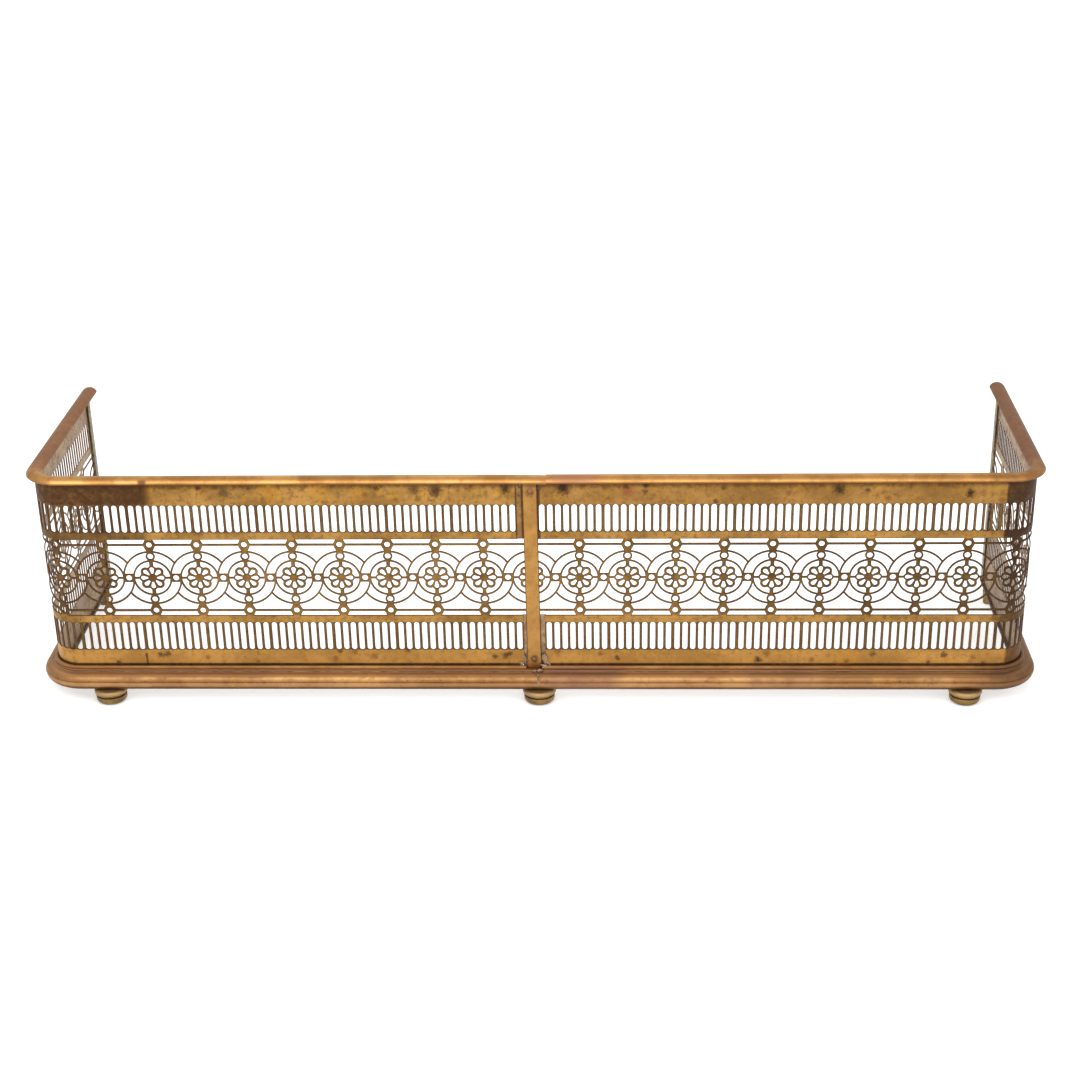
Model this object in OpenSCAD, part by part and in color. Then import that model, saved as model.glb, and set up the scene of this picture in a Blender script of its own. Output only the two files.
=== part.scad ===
// Brass fire fender: a pierced gallery bent to a U, between a D-section top rail and a base moulding.
// X runs along the front, Y goes back towards the fire, Z is up. The origin is on the floor, under the
// middle of the gallery's front face. "Out" is a distance from the gallery's outer face, all round the U.

/* [Plan] */
// Width across the outer faces of the gallery
gallery_w = 1040; // [800:10:1300]
// Depth from the gallery's front face to the rear end of its returns
gallery_d = 250; // [200:5:320]
// Radius of the gallery's outer face at the two front corners
corner_r = 32; // [30:0.5:40]

/* [Pierced sheet] */
// Thickness of the pierced brass sheet
sheet_t = 1.2; // [0.8:0.1:2]
// Distance between two rosettes along the sheet
motif_pitch = 50; // [49:0.25:54]
// Height of the field that holds the rosettes
field_h = 88.5; // [88:0.5:96]
// Height of the narrow bands above and below that field
narrow_band_h = 8.25; // [5:0.25:12]
// Height of the plain band under the top rail
top_band_h = 26.5; // [18:0.5:35]
// Height of the plain band over the base moulding
bottom_band_h = 18; // [14:0.25:25]
// Width left plain at the rear end of each return
rear_margin = 10; // [9:0.5:14]

/* [Slots] */
// Height of an upper slot
upper_slot_h = 31; // [20:0.5:45]
// Height of a lower slot
lower_slot_h = 33; // [20:0.5:45]
// Width of one slot
slot_w = 5.6; // [3.5:0.1:6.2]
// Distance between two slots
slot_pitch = 8.35; // [7.8:0.05:10]
// Slots that are cut at one stroke
slots_per_stroke = 8; // [4:1:12]
// Extra metal left between two strokes
stroke_gap = 0.75; // [0:0.05:2]

/* [Rosette field] */
// Width of the fretted wires
wire_w = 1.9; // [1.4:0.1:2.2]
// Radius of the inner rings, at the middle of the wire
ring_r = 19.7; // [19.4:0.1:20.2]
// Radius of the rosette's body
rosette_r = 12.6; // [12.3:0.1:13]
// Distance from the rosette's middle to the round end of a petal
petal_reach = 9.9; // [9.6:0.1:10.1]
// Width of a petal at its round end
petal_w = 5; // [4:0.1:5.2]
// Distance from the rosette's middle to the narrow end of a petal
petal_start = 4.6; // [4.4:0.1:5]
// Width of a petal at its narrow end
petal_start_w = 2; // [1:0.1:2.2]
// Metal round the four slanting petals
lobe_rim = 2.6; // [1.6:0.1:2.8]
// Metal round the upright and level petals
side_rim = 1.6; // [1.2:0.1:2]
// Width of the upright bars between rosette and ring
upright_bar_w = 4; // [2:0.1:4.5]
// Width of the level bars between rosette and ring
level_bar_w = 2.2; // [1.5:0.1:3.5]
// Height of the eyelets over and under each ring
eyelet_z = 25; // [24.8:0.1:25.2]
// Outer radius of those eyelets
eyelet_r = 5; // [4.6:0.1:5.2]
// Height of the long wires and their diamonds over and under the middle
long_wire_z = 38.3; // [38:0.1:38.8]
// Width of the long wires
long_wire_w = 2.3; // [1.6:0.1:2.6]
// Half the width of a diamond
diamond_w = 7; // [6:0.1:7.5]
// Half the height that a diamond's slopes would run to
diamond_h = 14; // [10:0.5:16]
// Width of the necks that join the diamonds to the rest
neck_w = 6.8; // [6:0.1:8]
// Radius of the round holes in eyelets and diamonds
eye_r = 3.1; // [2:0.1:3.3]
// Radius of the hole in the link between two rings
link_eye_r = 3.2; // [2.4:0.1:3.4]
// Height of that link
link_h = 9.6; // [8.8:0.1:10.2]

/* [Centre joint] */
// Width of the strap that covers the joint
strap_w = 15; // [14:0.5:20]
// Thickness of the strap
strap_t = 1.5; // [1:0.1:2.5]
// How far the strap laps down over the base moulding
strap_lap = 3; // [2:0.25:3.5]
// Radius of the strap's lower corners
strap_corner_r = 4; // [2:0.5:5]
// Distance from the middle to the end of the left sheet's upper bands
upper_left_end = 14.2; // [10.5:0.1:16]
// Distance from the middle to the end of the right sheet's upper bands
upper_right_end = 7.4; // [7.2:0.1:16]
// Distance from the middle to the end of the left sheet's lower bands
lower_left_end = 9.8; // [8.5:0.1:16]
// Distance from the middle to the end of the right sheet's lower bands
lower_right_end = 12.8; // [8.5:0.1:16]
// Metal between the end of a band and its first slot
first_bar_w = 1.6; // [1.2:0.1:3]
// Radius of the rounded corners at the ends of the plain bands
band_corner_r = 4.5; // [2:0.5:6]
// Thickness of the two joint plates behind the sheets
plate_t = 1.2; // [0.8:0.1:2]
// How far a joint plate laps behind each sheet
plate_lap = 1; // [0.5:0.1:1.1]
// How far the joint plates' raised middles stay inside the strap's edges
plate_inset = 1.5; // [0.5:0.1:3]
// Radius of a strap rivet's head
strap_rivet_head_r = 2.7; // [2.2:0.1:3.5]
// Radius of a strap rivet's shank
strap_rivet_r = 1.6; // [1:0.1:2]
// Height of a strap rivet's head
strap_rivet_head_h = 1.2; // [0.6:0.1:1.8]
// Depth of the upper strap rivet under the rail
upper_rivet_drop = 11.5; // [6:0.5:15]
// Height of the lower strap rivet over the base moulding
lower_rivet_rise = 7; // [3.5:0.5:10]

/* [Top rail] */
// Width of the top rail
rail_w = 17; // [14:0.5:24]
// Height of the top rail
rail_h = 6.2; // [5:0.1:8]
// Height of the rail's upright edge, under its crown
rail_edge_h = 1.2; // [0.6:0.1:2]
// Depth of the groove that takes the sheet's top edge
rail_groove = 1.6; // [1:0.1:2.5]
// How far the rail runs past the rear end of the gallery
rail_tail = 20; // [15:1:40]
// Place of the seam between the two rails, right of the middle
rail_seam = 17; // [10:0.5:40]

/* [Base] */
// Height of the base moulding
moulding_h = 25; // [25:0.25:27]
// Wall of the base moulding
moulding_t = 1.5; // [1:0.1:1.8]
// Radius of the large torus
torus_r = 9; // [8.8:0.1:9.1]
// Distance out to the middle of the torus
torus_out = 7; // [6.6:0.1:7.4]
// Radius of the bead along the top
bead_r = 2.2; // [1.8:0.1:2.3]
// Radius of the cove between bead and torus
cove_r = 2.35; // [2:0.05:2.5]
// Distance out to the middle of the cove
cove_out = 6; // [5.7:0.1:6.4]
// Radius of the fine groove along the torus
fine_groove_r = 0.5; // [0.3:0.1:0.8]
// Slope of that groove's place on the torus, over the level
fine_groove_angle = 17; // [10:1:40]
// Place of the seam between the two mouldings, right of the middle
moulding_seam = 5.5; // [0:0.5:30]
// Thickness of the iron base bar
bar_t = 3; // [2:0.1:4]
// How far the bar reaches inside the gallery's outer face
bar_in = 4; // [3.8:0.1:8]
// Thickness of the caps on the moulding's rear ends
cap_t = 1.2; // [0.8:0.1:2]

/* [Rear stiles] */
// Thickness of the upright strips at the rear ends
stile_t = 2; // [1:0.1:2.4]
// Number of rivets in each strip
stile_rivet_count = 4; // [2:1:8]
// Distance from a strip's last rivets to the rail and to the moulding
stile_rivet_edge = 8; // [5:0.5:20]
// Radius of a stile rivet's head
stile_rivet_head_r = 2.4; // [1.8:0.1:3]
// Radius of a stile rivet's shank
stile_rivet_r = 1.3; // [0.8:0.1:1.6]
// Height of a stile rivet's head
stile_rivet_head_h = 1; // [0.5:0.1:1.5]

/* [Feet] */
// Height of the feet
foot_h = 16; // [12:0.5:25]
// Radius of a front foot
foot_r = 18; // [16:0.5:20]
// Radius of a front foot's lower roll
foot_lower_r = 16.5; // [15:0.5:17]
// Rounding of that roll's lower edge
foot_round = 4.5; // [3:0.5:6]
// Height of a front foot's upper roll
foot_roll_h = 7; // [5:0.5:8]
// Depth of the ring groove under that roll
foot_groove = 2; // [1:0.1:3]
// Height of that groove
foot_groove_h = 1; // [0.5:0.1:2]
// Distance from each side of the gallery in to the middle of the outer front foot
foot_inset = 61.5; // [58:0.5:200]
// Radius of a rear foot
rear_foot_r = 7; // [5.5:0.5:9]
// Radius of the pad that a rear foot stands on
rear_foot_pad_r = 5.5; // [4:0.5:9]
// Distance from a rear foot's middle to the rear end of the base
rear_foot_inset = 25; // [12:1:60]
// Distance out to the middle of the feet
foot_out = 2.5; // [1.5:0.1:3]
// Radius of the studs
stud_r = 2.5; // [2:0.1:2.8]
// Depth of a stud in its foot
stud_depth = 9; // [5:0.5:11]

/* [Fit] */
// Clearance between the sheet and the rail's groove, on each side
groove_clearance = 0.1; // [0.05:0.05:0.3]
// Gap between the two sheets under the strap, on each side of the middle
butt_gap = 0.1; // [0.05:0.05:0.5]
// Clearance round the strap in its notch in the moulding
notch_clearance = 0.5; // [0.2:0.1:1]
// Clearance between a stud and its hole in the moulding
stud_clearance = 0.25; // [0.1:0.05:0.5]

/* [Hidden] */
$fn = 64;
eps = 0.5;                                   // overshoot of a cutting tool

// Heights, from the floor up
bar_z = foot_h + moulding_t;                 // the bar lies on the floor of the hollow moulding
bar_top = bar_z + bar_t;
moulding_top = foot_h + moulding_h;
lower_slot_z = moulding_top + bottom_band_h;
field_z = lower_slot_z + lower_slot_h + narrow_band_h;
field_top = field_z + field_h;
axis_z = field_z + field_h / 2;              // the row of rosettes
upper_slot_z = field_top + narrow_band_h;
rail_z = upper_slot_z + upper_slot_h + top_band_h;
sheet_top = rail_z + rail_groove - groove_clearance;

// Plan. A place along the sheet is measured on its middle surface, from the middle of the front.
half_w = gallery_w / 2;
foot_x = half_w - foot_inset;
bend_x = half_w - corner_r;                  // where the front stops being flat
bend_r = corner_r - sheet_t / 2;             // middle surface of the bend
bend_start = bend_x;
bend_end = bend_start + bend_r * PI / 2;
sheet_end = bend_end + gallery_d - corner_r;
pierced_end = sheet_end - rear_margin;
rail_out = -sheet_t / 2;                     // the rail is centred over the sheet

// Fretwork
half_wire = wire_w / 2;
arc_r = motif_pitch - ring_r;                // each great arc just meets the next ring
petal_r = petal_w / 2;
last_motif = ceil(pierced_end / motif_pitch);
half_overlap = 0.15;                         // the two halves of a wide opening overlap in the middle
bend_ease = 0.02;                            // halves of a wide opening meet with a hair's step in the bend
stroke_pitch = slots_per_stroke * slot_pitch + stroke_gap;

function upper_end(hand) = hand > 0 ? upper_right_end : upper_left_end;
function lower_end(hand) = hand > 0 ? lower_right_end : lower_left_end;
function slot_s(k, band_end) = band_end + first_bar_w + slot_w / 2
    + floor(k / slots_per_stroke) * stroke_pitch + (k % slots_per_stroke) * slot_pitch;
function slot_places(band_end) = [
    for (k = [0 : floor(pierced_end / slot_pitch)]) let (s = slot_s(k, band_end))
        if (s + slot_w / 2 < pierced_end) s];
function touches(a, b, from, to) = b > from && a < to;

brass = "#b8863e";
rail_brass = "#c8935a";
moulding_brass = "#a8794e";
old_brass = "#9a7a4c";
tinned = "#a79a84";
iron = "#4a4340";

module box_from(x0, y0, x1, y1) {
    translate([x0, y0]) square([x1 - x0, y1 - y0]);
}

module ring_band(inner, outer) {
    difference() {
        circle(outer);
        circle(inner);
    }
}

// Mirrors what is drawn for the right side over to the left where hand is -1
module side(hand) {
    mirror([hand < 0 ? 1 : 0, 0, 0]) children();
}

// ---------------------------------------------------------------- openings of the rosette field
// An opening is [kind, turn, from, to], drawn round its own rosette; from and to bound it along the sheet.
PETALS = [
    for (k = [0 : 7]) let (middle = (petal_start + petal_reach) / 2 * cos(45 * k))
        ["petal", k, middle - petal_w, middle + petal_w]];
AROUND = [
    ["gap", 0, 0, ring_r], ["gap", 1, -ring_r, 0], ["gap", 2, -ring_r, 0], ["gap", 3, 0, ring_r],
    ["long_crescent", 0, -arc_r, 0], ["long_crescent", 2, 0, arc_r],
    ["short_crescent", 0, 0, motif_pitch / 2], ["short_crescent", 2, -motif_pitch / 2, 0]];
STEM_HOLES = [
    for (turn = [0, 1], kind = ["eyelet", "diamond"]) [kind, turn, -eye_r, eye_r]];
// What lies between a rosette and the next one is symmetrical about the middle between them
BETWEEN = concat(
    [["link", 0, motif_pitch / 2 - link_eye_r, motif_pitch / 2 + link_eye_r]],
    [for (turn = [0, 1], kind = ["spandrel", "strip"]) each [
        [str("near_", kind), turn, 0, motif_pitch / 2],
        [str("far_", kind), turn, motif_pitch / 2, motif_pitch]]]);

module petal() {
    translate([petal_reach, 0]) circle(petal_r);
    polygon([[petal_start, -petal_start_w / 2], [petal_reach, -petal_r],
             [petal_reach, petal_r], [petal_start, petal_start_w / 2]]);
}

// One quarter of the space between a scalloped rosette and its ring
module gap() {
    difference() {
        intersection() {
            circle(ring_r - half_wire);
            box_from(upright_bar_w / 2, level_bar_w / 2, ring_r, ring_r);
        }
        circle(rosette_r);
        rotate(45) translate([petal_reach, 0]) circle(petal_r + lobe_rim);
        for (angle = [0, 90]) rotate(angle) translate([petal_reach, 0]) circle(petal_r + side_rim);
    }
}

// Upper left space between ring and great arc, down to the link
module long_crescent() {
    difference() {
        intersection() {
            ring_band(ring_r + half_wire, arc_r - half_wire);
            box_from(-arc_r, link_h / 2, -neck_w / 2, arc_r);
        }
        translate([0, eyelet_z]) circle(eyelet_r);
    }
}

// Upper right space between ring and great arc, up to the next arc, which crosses over it
module short_crescent() {
    difference() {
        intersection() {
            ring_band(ring_r + half_wire, arc_r - half_wire);
            box_from(neck_w / 2, 0, arc_r, arc_r);
        }
        translate([0, eyelet_z]) circle(eyelet_r);
        translate([motif_pitch, 0]) circle(arc_r + half_wire);
    }
}

module diamond() {
    polygon([[diamond_w, 0], [0, diamond_h], [-diamond_w, 0], [0, -diamond_h]]);
}

// Half of the space between two great arcs and the long wire
module near_spandrel() {
    difference() {
        box_from(neck_w / 2, 0, motif_pitch / 2 + half_overlap, long_wire_z - long_wire_w / 2 - $ease);
        circle(arc_r + half_wire);
        translate([motif_pitch, 0]) circle(arc_r + half_wire);
        translate([0, long_wire_z]) diamond();
    }
}

// Half of the slit between the long wire and the narrow band
module near_strip() {
    difference() {
        box_from(neck_w / 2, long_wire_z + long_wire_w / 2 + $ease,
                 motif_pitch / 2 + half_overlap, field_h / 2 - $ease);
        translate([0, long_wire_z]) diamond();
    }
}

module far_half() {
    translate([motif_pitch, 0]) mirror([1, 0]) children();
}

module opening(o) {
    kind = o[0];
    turn = o[1];
    if (kind == "petal") rotate(45 * turn) petal();
    if (kind == "gap") rotate(180 * floor(turn / 2)) mirror([turn % 2, 0]) gap();
    if (kind == "long_crescent") rotate(90 * turn) long_crescent();
    if (kind == "short_crescent") rotate(90 * turn) short_crescent();
    if (kind == "link") translate([motif_pitch / 2, 0]) circle(link_eye_r);
    mirror([0, turn % 2]) {
        if (kind == "eyelet") translate([0, eyelet_z]) circle(eye_r);
        if (kind == "diamond") translate([0, long_wire_z]) circle(eye_r);
        if (kind == "near_spandrel") near_spandrel();
        if (kind == "far_spandrel") far_half() near_spandrel();
        if (kind == "near_strip") near_strip();
        if (kind == "far_strip") far_half() near_strip();
    }
}

module slot(h) {
    r = slot_w / 2;
    box_from(-r, r, r, h - r);
    translate([0, r]) circle(r);
    translate([0, h - r]) circle(r);
}

// All openings of one sheet as [from, to, kind, opening, place, turned over], where a slot's opening is
// [foot, height]. The left sheet is drawn mirrored, so its rosettes are turned over first and keep the weave.
function sheet_openings(hand) = concat(
    [for (s = slot_places(lower_end(hand)))
        [s - slot_w / 2, s + slot_w / 2, "slot", [lower_slot_z, lower_slot_h], s, false]],
    [for (s = slot_places(upper_end(hand)))
        [s - slot_w / 2, s + slot_w / 2, "slot", [upper_slot_z, upper_slot_h], s, false]],
    [for (i = [0 : last_motif], o = concat(PETALS, AROUND, STEM_HOLES)) let (s = motif_pitch * i)
        [s + (hand < 0 ? -o[3] : o[2]), s + (hand < 0 ? -o[2] : o[3]), "around", o, s, hand < 0]],
    [for (i = [0 : last_motif], o = BETWEEN) let (s = motif_pitch * i)
        [s + o[2], s + o[3], "between", o, s, false]]);

module sheet_opening(o, ease = 0) {
    $ease = ease;
    if (o[2] == "slot") translate([o[4], o[3][0]]) slot(o[3][1]);
    else translate([o[4], axis_z]) mirror([o[5] ? 1 : 0, 0]) opening(o[3]);
}

module pierced(from, to, hand) {
    for (o = sheet_openings(hand)) if (touches(o[0], o[1], from, to)) sheet_opening(o);
}

// ---------------------------------------------------------------- the bent sheets
// Stands a flat drawing up, its face on the sheet's outer face and its thickness t towards the fire
module stand_up(t) {
    rotate([90, 0, 0]) translate([0, 0, -t]) linear_extrude(t) children();
}

// Rounds off the corner between a band's end and its long edge; the drawing is the upper one
module band_corner(end_s, z) {
    difference() {
        box_from(end_s - eps, z - band_corner_r, end_s + band_corner_r, sheet_top + eps);
        translate([end_s + band_corner_r, z - band_corner_r]) circle(band_corner_r);
    }
}

module front_sheet(hand) {
    stand_up(sheet_t) difference() {
        union() {
            box_from(lower_end(hand), bar_top, bend_start, axis_z);
            box_from(upper_end(hand), axis_z, bend_start, sheet_top);
            box_from(butt_gap, field_z, max(lower_end(hand), upper_end(hand)) + eps, field_top);
        }
        band_corner(upper_end(hand), rail_z);
        translate([0, moulding_top]) mirror([0, 1]) band_corner(lower_end(hand), 0);
        pierced(0, bend_start, hand);
    }
}

module return_sheet(hand) {
    translate([half_w, corner_r, 0]) rotate([0, 0, 90]) stand_up(sheet_t) translate([-bend_end, 0])
        difference() {
            box_from(bend_end, bar_top, sheet_end, sheet_top);
            intersection() {
                box_from(bend_end - eps, 0, pierced_end, rail_z);
                pierced(bend_end, pierced_end, hand);
            }
        }
}

// Cuts a flat drawing through the bend, square to the sheet at its place s
module through_bend(s) {
    rotate([0, 0, (s - bend_start) / bend_r * 180 / PI])
        translate([0, -corner_r - eps, 0]) rotate([-90, 0, 0]) mirror([0, 1, 0])
            linear_extrude(corner_r) translate([-s, 0]) children();
}

module bend_sheet(hand) {
    translate([bend_x, corner_r, 0]) difference() {
        rotate([0, 0, -90]) rotate_extrude(angle = 90)
            box_from(corner_r - sheet_t, bar_top, corner_r, sheet_top);
        for (o = sheet_openings(hand)) if (touches(o[0], o[1], bend_start, bend_end))
            through_bend((max(o[0], bend_start) + min(o[1], bend_end)) / 2)
                sheet_opening(o, o[0] % motif_pitch < 1 ? bend_ease : bend_ease * 2);
    }
}

module pierced_gallery(hand) {
    color(brass) difference() {
        side(hand) {
            front_sheet(hand);
            bend_sheet(hand);
            return_sheet(hand);
        }
        stile_rivet_places(hand) translate([0, 0, -eps]) cylinder(r = stile_rivet_r, h = sheet_t + eps * 2);
    }
}

// ---------------------------------------------------------------- what follows the U
// Sweeps a section of [distance out, height] from the seam along the front, round the corner and back to y
module follow(seam, y_end) {
    translate([seam, 0, 0]) rotate([90, 0, 90]) linear_extrude(bend_x - seam) mirror([1, 0]) children();
    translate([bend_x, corner_r, 0]) rotate([0, 0, -90]) rotate_extrude(angle = 90)
        translate([corner_r, 0]) children();
    translate([half_w, y_end, 0]) rotate([90, 0, 0]) linear_extrude(y_end - corner_r) children();
}

// D section: a crown of one radius over short upright edges
module rail_section() {
    rise = rail_h - rail_edge_h;
    crown_r = (pow(rail_w / 2, 2) + pow(rise, 2)) / (2 * rise);
    intersection() {
        translate([0, rail_h - crown_r]) circle(crown_r, $fn = 128);
        box_from(-rail_w / 2, 0, rail_w / 2, rail_h);
    }
}

module top_rail(hand) {
    groove_w = sheet_t + 2 * groove_clearance;
    end_y = gallery_d + rail_tail - rail_w / 2;
    color(rail_brass) side(hand) translate([0, 0, rail_z]) difference() {
        union() {
            follow(hand * rail_seam, end_y) translate([rail_out, 0]) rail_section();
            translate([half_w + rail_out, end_y, 0]) rotate_extrude(angle = 180) intersection() {
                rail_section();
                box_from(0, 0, rail_w, rail_h);
            }
        }
        follow(hand * rail_seam - eps, gallery_d + groove_clearance)
            translate([rail_out, 0]) box_from(-groove_w / 2, -eps, groove_w / 2, rail_groove);
    }
}

// Keeps what lies at least this far out
module outside(distance) {
    intersection() {
        children();
        box_from(distance, 0, half_w, rail_z);
    }
}

// Outline of the moulding: bead, cove and torus against the gallery's face
module moulding_outline() {
    cove_z = foot_h + torus_r * 2 + cove_r;
    difference() {
        union() {
            outside(0) translate([torus_out, foot_h + torus_r]) circle(torus_r);
            box_from(0, foot_h, torus_out, foot_h + torus_r * 2);
            box_from(0, foot_h + torus_r * 2 - eps, cove_out, cove_z);
            box_from(0, cove_z - eps, bead_r, moulding_top - bead_r);
        }
        translate([cove_out, cove_z]) circle(cove_r);
        translate([torus_out, foot_h + torus_r]) rotate(fine_groove_angle) translate([torus_r, 0])
            circle(fine_groove_r);
    }
    translate([bead_r, moulding_top - bead_r]) circle(bead_r);
}

module moulding_section() {
    cove_z = foot_h + torus_r * 2 + cove_r;
    hollow_top = foot_h + torus_r * 2 + moulding_t;
    difference() {
        moulding_outline();
        outside(moulding_t) translate([torus_out, foot_h + torus_r]) circle(torus_r - moulding_t);
        box_from(moulding_t, bar_z, torus_out, foot_h + torus_r * 2 - moulding_t);
        difference() {
            box_from(moulding_t, foot_h + torus_r * 2 - moulding_t - eps, torus_out, hollow_top);
            translate([cove_out, cove_z]) circle(cove_r + moulding_t);
        }
        box_from(-eps, bar_z, moulding_t + eps, bar_top);
    }
}

module base_moulding(hand) {
    notch_w = strap_w / 2 + notch_clearance;
    notch_z = moulding_top - strap_lap - notch_clearance;
    color(moulding_brass) difference() {
        side(hand) follow(hand * moulding_seam, gallery_d) moulding_section();
        translate([-notch_w, -bead_r * 2 - eps, notch_z])
            cube([notch_w * 2, bead_r * 2 + eps * 2, strap_lap * 2]);
        foot_places() translate([0, 0, foot_h - eps])
            cylinder(r = stud_r + stud_clearance, h = moulding_t + eps * 2);
    }
}

module base_bar() {
    color(iron) difference() {
        for (hand = [-1, 1]) side(hand) follow(0, gallery_d) box_from(-bar_in, bar_z, torus_out, bar_top);
        foot_places() translate([0, 0, bar_z - eps]) cylinder(r = stud_r, h = bar_t + eps * 2);
    }
}

module base_end_cap(hand) {
    color(moulding_brass) side(hand) translate([half_w, gallery_d + cap_t, 0]) rotate([90, 0, 0])
        linear_extrude(cap_t) moulding_outline();
}

// ---------------------------------------------------------------- centre joint
module centre_strap() {
    foot_z = moulding_top - strap_lap;
    corner_x = strap_w / 2 - strap_corner_r;
    corner_z = foot_z + strap_corner_r;
    color(brass) difference() {
        translate([0, -strap_t, 0]) stand_up(strap_t) {
            box_from(-strap_w / 2, corner_z, strap_w / 2, rail_z);
            box_from(-corner_x, foot_z, corner_x, corner_z);
            for (x = [-corner_x, corner_x]) translate([x, corner_z]) circle(strap_corner_r);
        }
        strap_rivet_holes();
    }
}

module strap_rivet_places() {
    for (z = [rail_z - upper_rivet_drop, moulding_top + lower_rivet_rise])
        translate([0, -strap_t, z]) rotate([-90, 0, 0]) children();
}

module strap_rivet_holes() {
    strap_rivet_places() translate([0, 0, -eps])
        cylinder(r = strap_rivet_r, h = strap_t + sheet_t + plate_t + eps * 2);
}

// A plate behind the ends of both sheets, with a raised middle that fills the joint under the strap
module joint_plate(z0, z1, left_end, right_end) {
    middle = min(strap_w / 2 - plate_inset, left_end - butt_gap, right_end - butt_gap);
    color(tinned) difference() {
        union() {
            translate([0, sheet_t, 0]) stand_up(plate_t)
                box_from(-left_end - plate_lap, z0, right_end + plate_lap, z1);
            stand_up(sheet_t) box_from(-middle, z0, middle, z1);
        }
        strap_rivet_holes();
    }
}

// A dome of given height on a shank that goes on for the given grip, pointing along +Z into the work
module rivet(head_r, head_h, r, grip) {
    dome_r = (head_r * head_r + head_h * head_h) / (2 * head_h);
    rotate_extrude() union() {
        box_from(0, 0, r, grip);
        intersection() {
            translate([0, dome_r - head_h]) circle(dome_r);
            box_from(0, -head_h, head_r, 0);
        }
    }
}

module strap_rivets() {
    color(old_brass) strap_rivet_places()
        rivet(strap_rivet_head_r, strap_rivet_head_h, strap_rivet_r, strap_t + sheet_t + plate_t);
}

// ---------------------------------------------------------------- rear stiles
module stile_rivet_places(hand) {
    low = moulding_top + stile_rivet_edge;
    high = rail_z - stile_rivet_edge;
    side(hand) for (k = [0 : stile_rivet_count - 1])
        translate([half_w, gallery_d - rear_margin / 2, low + (high - low) * k / (stile_rivet_count - 1)])
            rotate([0, -90, 0]) children();
}

module end_stile(hand) {
    color(old_brass) difference() {
        side(hand) translate([half_w - sheet_t - stile_t, gallery_d - rear_margin, bar_top])
            cube([stile_t, rear_margin, rail_z - bar_top]);
        stile_rivet_places(hand) cylinder(r = stile_rivet_r, h = sheet_t + stile_t + eps);
    }
}

module stile_rivets() {
    color(old_brass) for (hand = [-1, 1]) stile_rivet_places(hand)
        rivet(stile_rivet_head_r, stile_rivet_head_h, stile_rivet_r, sheet_t + stile_t);
}

// ---------------------------------------------------------------- feet
module front_foot_place(x) {
    translate([x, -foot_out, 0]) children();
}

module rear_foot_place(hand) {
    translate([hand * (half_w + foot_out), gallery_d - rear_foot_inset, 0]) children();
}

module foot_places() {
    for (x = [-foot_x, moulding_seam, foot_x]) front_foot_place(x) children();
    for (hand = [-1, 1]) rear_foot_place(hand) children();
}

module stud_socket() {
    translate([0, 0, foot_h - stud_depth]) cylinder(r = stud_r, h = stud_depth + eps);
}

// A turned bun: a full roll on top, a ring groove, and a lower roll that is rounded off to the pad
module front_foot() {
    roll_r = foot_roll_h / 2;
    roll_z = foot_h - foot_roll_h;
    lower_top = roll_z - foot_groove_h;
    color(old_brass) difference() {
        rotate_extrude() union() {
            box_from(0, roll_z, foot_r - roll_r, foot_h);
            translate([foot_r - roll_r, roll_z + roll_r]) circle(roll_r);
            box_from(0, lower_top - eps, foot_lower_r - foot_groove, roll_z + eps);
            box_from(0, 0, foot_lower_r - foot_round, lower_top);
            box_from(0, foot_round, foot_lower_r, lower_top);
            translate([foot_lower_r - foot_round, foot_round]) circle(foot_round);
        }
        stud_socket();
    }
}

module rear_foot() {
    color(old_brass) difference() {
        cylinder(r1 = rear_foot_pad_r, r2 = rear_foot_r, h = foot_h);
        stud_socket();
    }
}

module foot_studs() {
    color(iron) foot_places() translate([0, 0, foot_h - stud_depth])
        cylinder(r = stud_r, h = bar_top - foot_h + stud_depth);
}

pierced_gallery(-1);  // left_gallery
pierced_gallery(1);  // right_gallery
top_rail(-1);  // left_top_rail
top_rail(1);  // right_top_rail
base_moulding(-1);  // left_base_moulding
base_moulding(1);  // right_base_moulding
base_bar();
base_end_cap(-1);  // left_base_end_cap
base_end_cap(1);  // right_base_end_cap
centre_strap();
joint_plate(field_top, rail_z, upper_left_end, upper_right_end);  // upper_joint_plate
joint_plate(bar_top, field_z, lower_left_end, lower_right_end);  // lower_joint_plate
strap_rivets();
end_stile(-1);  // left_end_stile
end_stile(1);  // right_end_stile
stile_rivets();
front_foot_place(-foot_x) front_foot();  // front_left_foot
front_foot_place(moulding_seam) front_foot();  // front_centre_foot
front_foot_place(foot_x) front_foot();  // front_right_foot
rear_foot_place(-1) rear_foot();  // rear_left_foot
rear_foot_place(1) rear_foot();  // rear_right_foot
foot_studs();
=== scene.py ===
# Looks of an old brass fire fender: pierced gallery, top rail, base moulding, strap, rivets and feet.
import math
import random

import bmesh
import bpy
from mathutils import Matrix, Vector, geometry, kdtree


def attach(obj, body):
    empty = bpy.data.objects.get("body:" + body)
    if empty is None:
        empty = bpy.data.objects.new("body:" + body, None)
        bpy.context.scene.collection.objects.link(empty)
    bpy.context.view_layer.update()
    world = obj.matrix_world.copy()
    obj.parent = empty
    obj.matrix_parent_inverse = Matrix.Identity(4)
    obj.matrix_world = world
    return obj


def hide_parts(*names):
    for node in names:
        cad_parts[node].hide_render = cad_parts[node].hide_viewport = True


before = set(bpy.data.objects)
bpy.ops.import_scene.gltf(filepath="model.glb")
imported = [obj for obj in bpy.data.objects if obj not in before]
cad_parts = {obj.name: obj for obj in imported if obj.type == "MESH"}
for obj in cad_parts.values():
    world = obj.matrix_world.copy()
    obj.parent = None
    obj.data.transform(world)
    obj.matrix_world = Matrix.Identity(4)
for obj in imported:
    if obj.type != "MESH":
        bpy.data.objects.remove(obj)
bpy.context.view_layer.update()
print("frame loaded:", len(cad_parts), "nodes")

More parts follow.
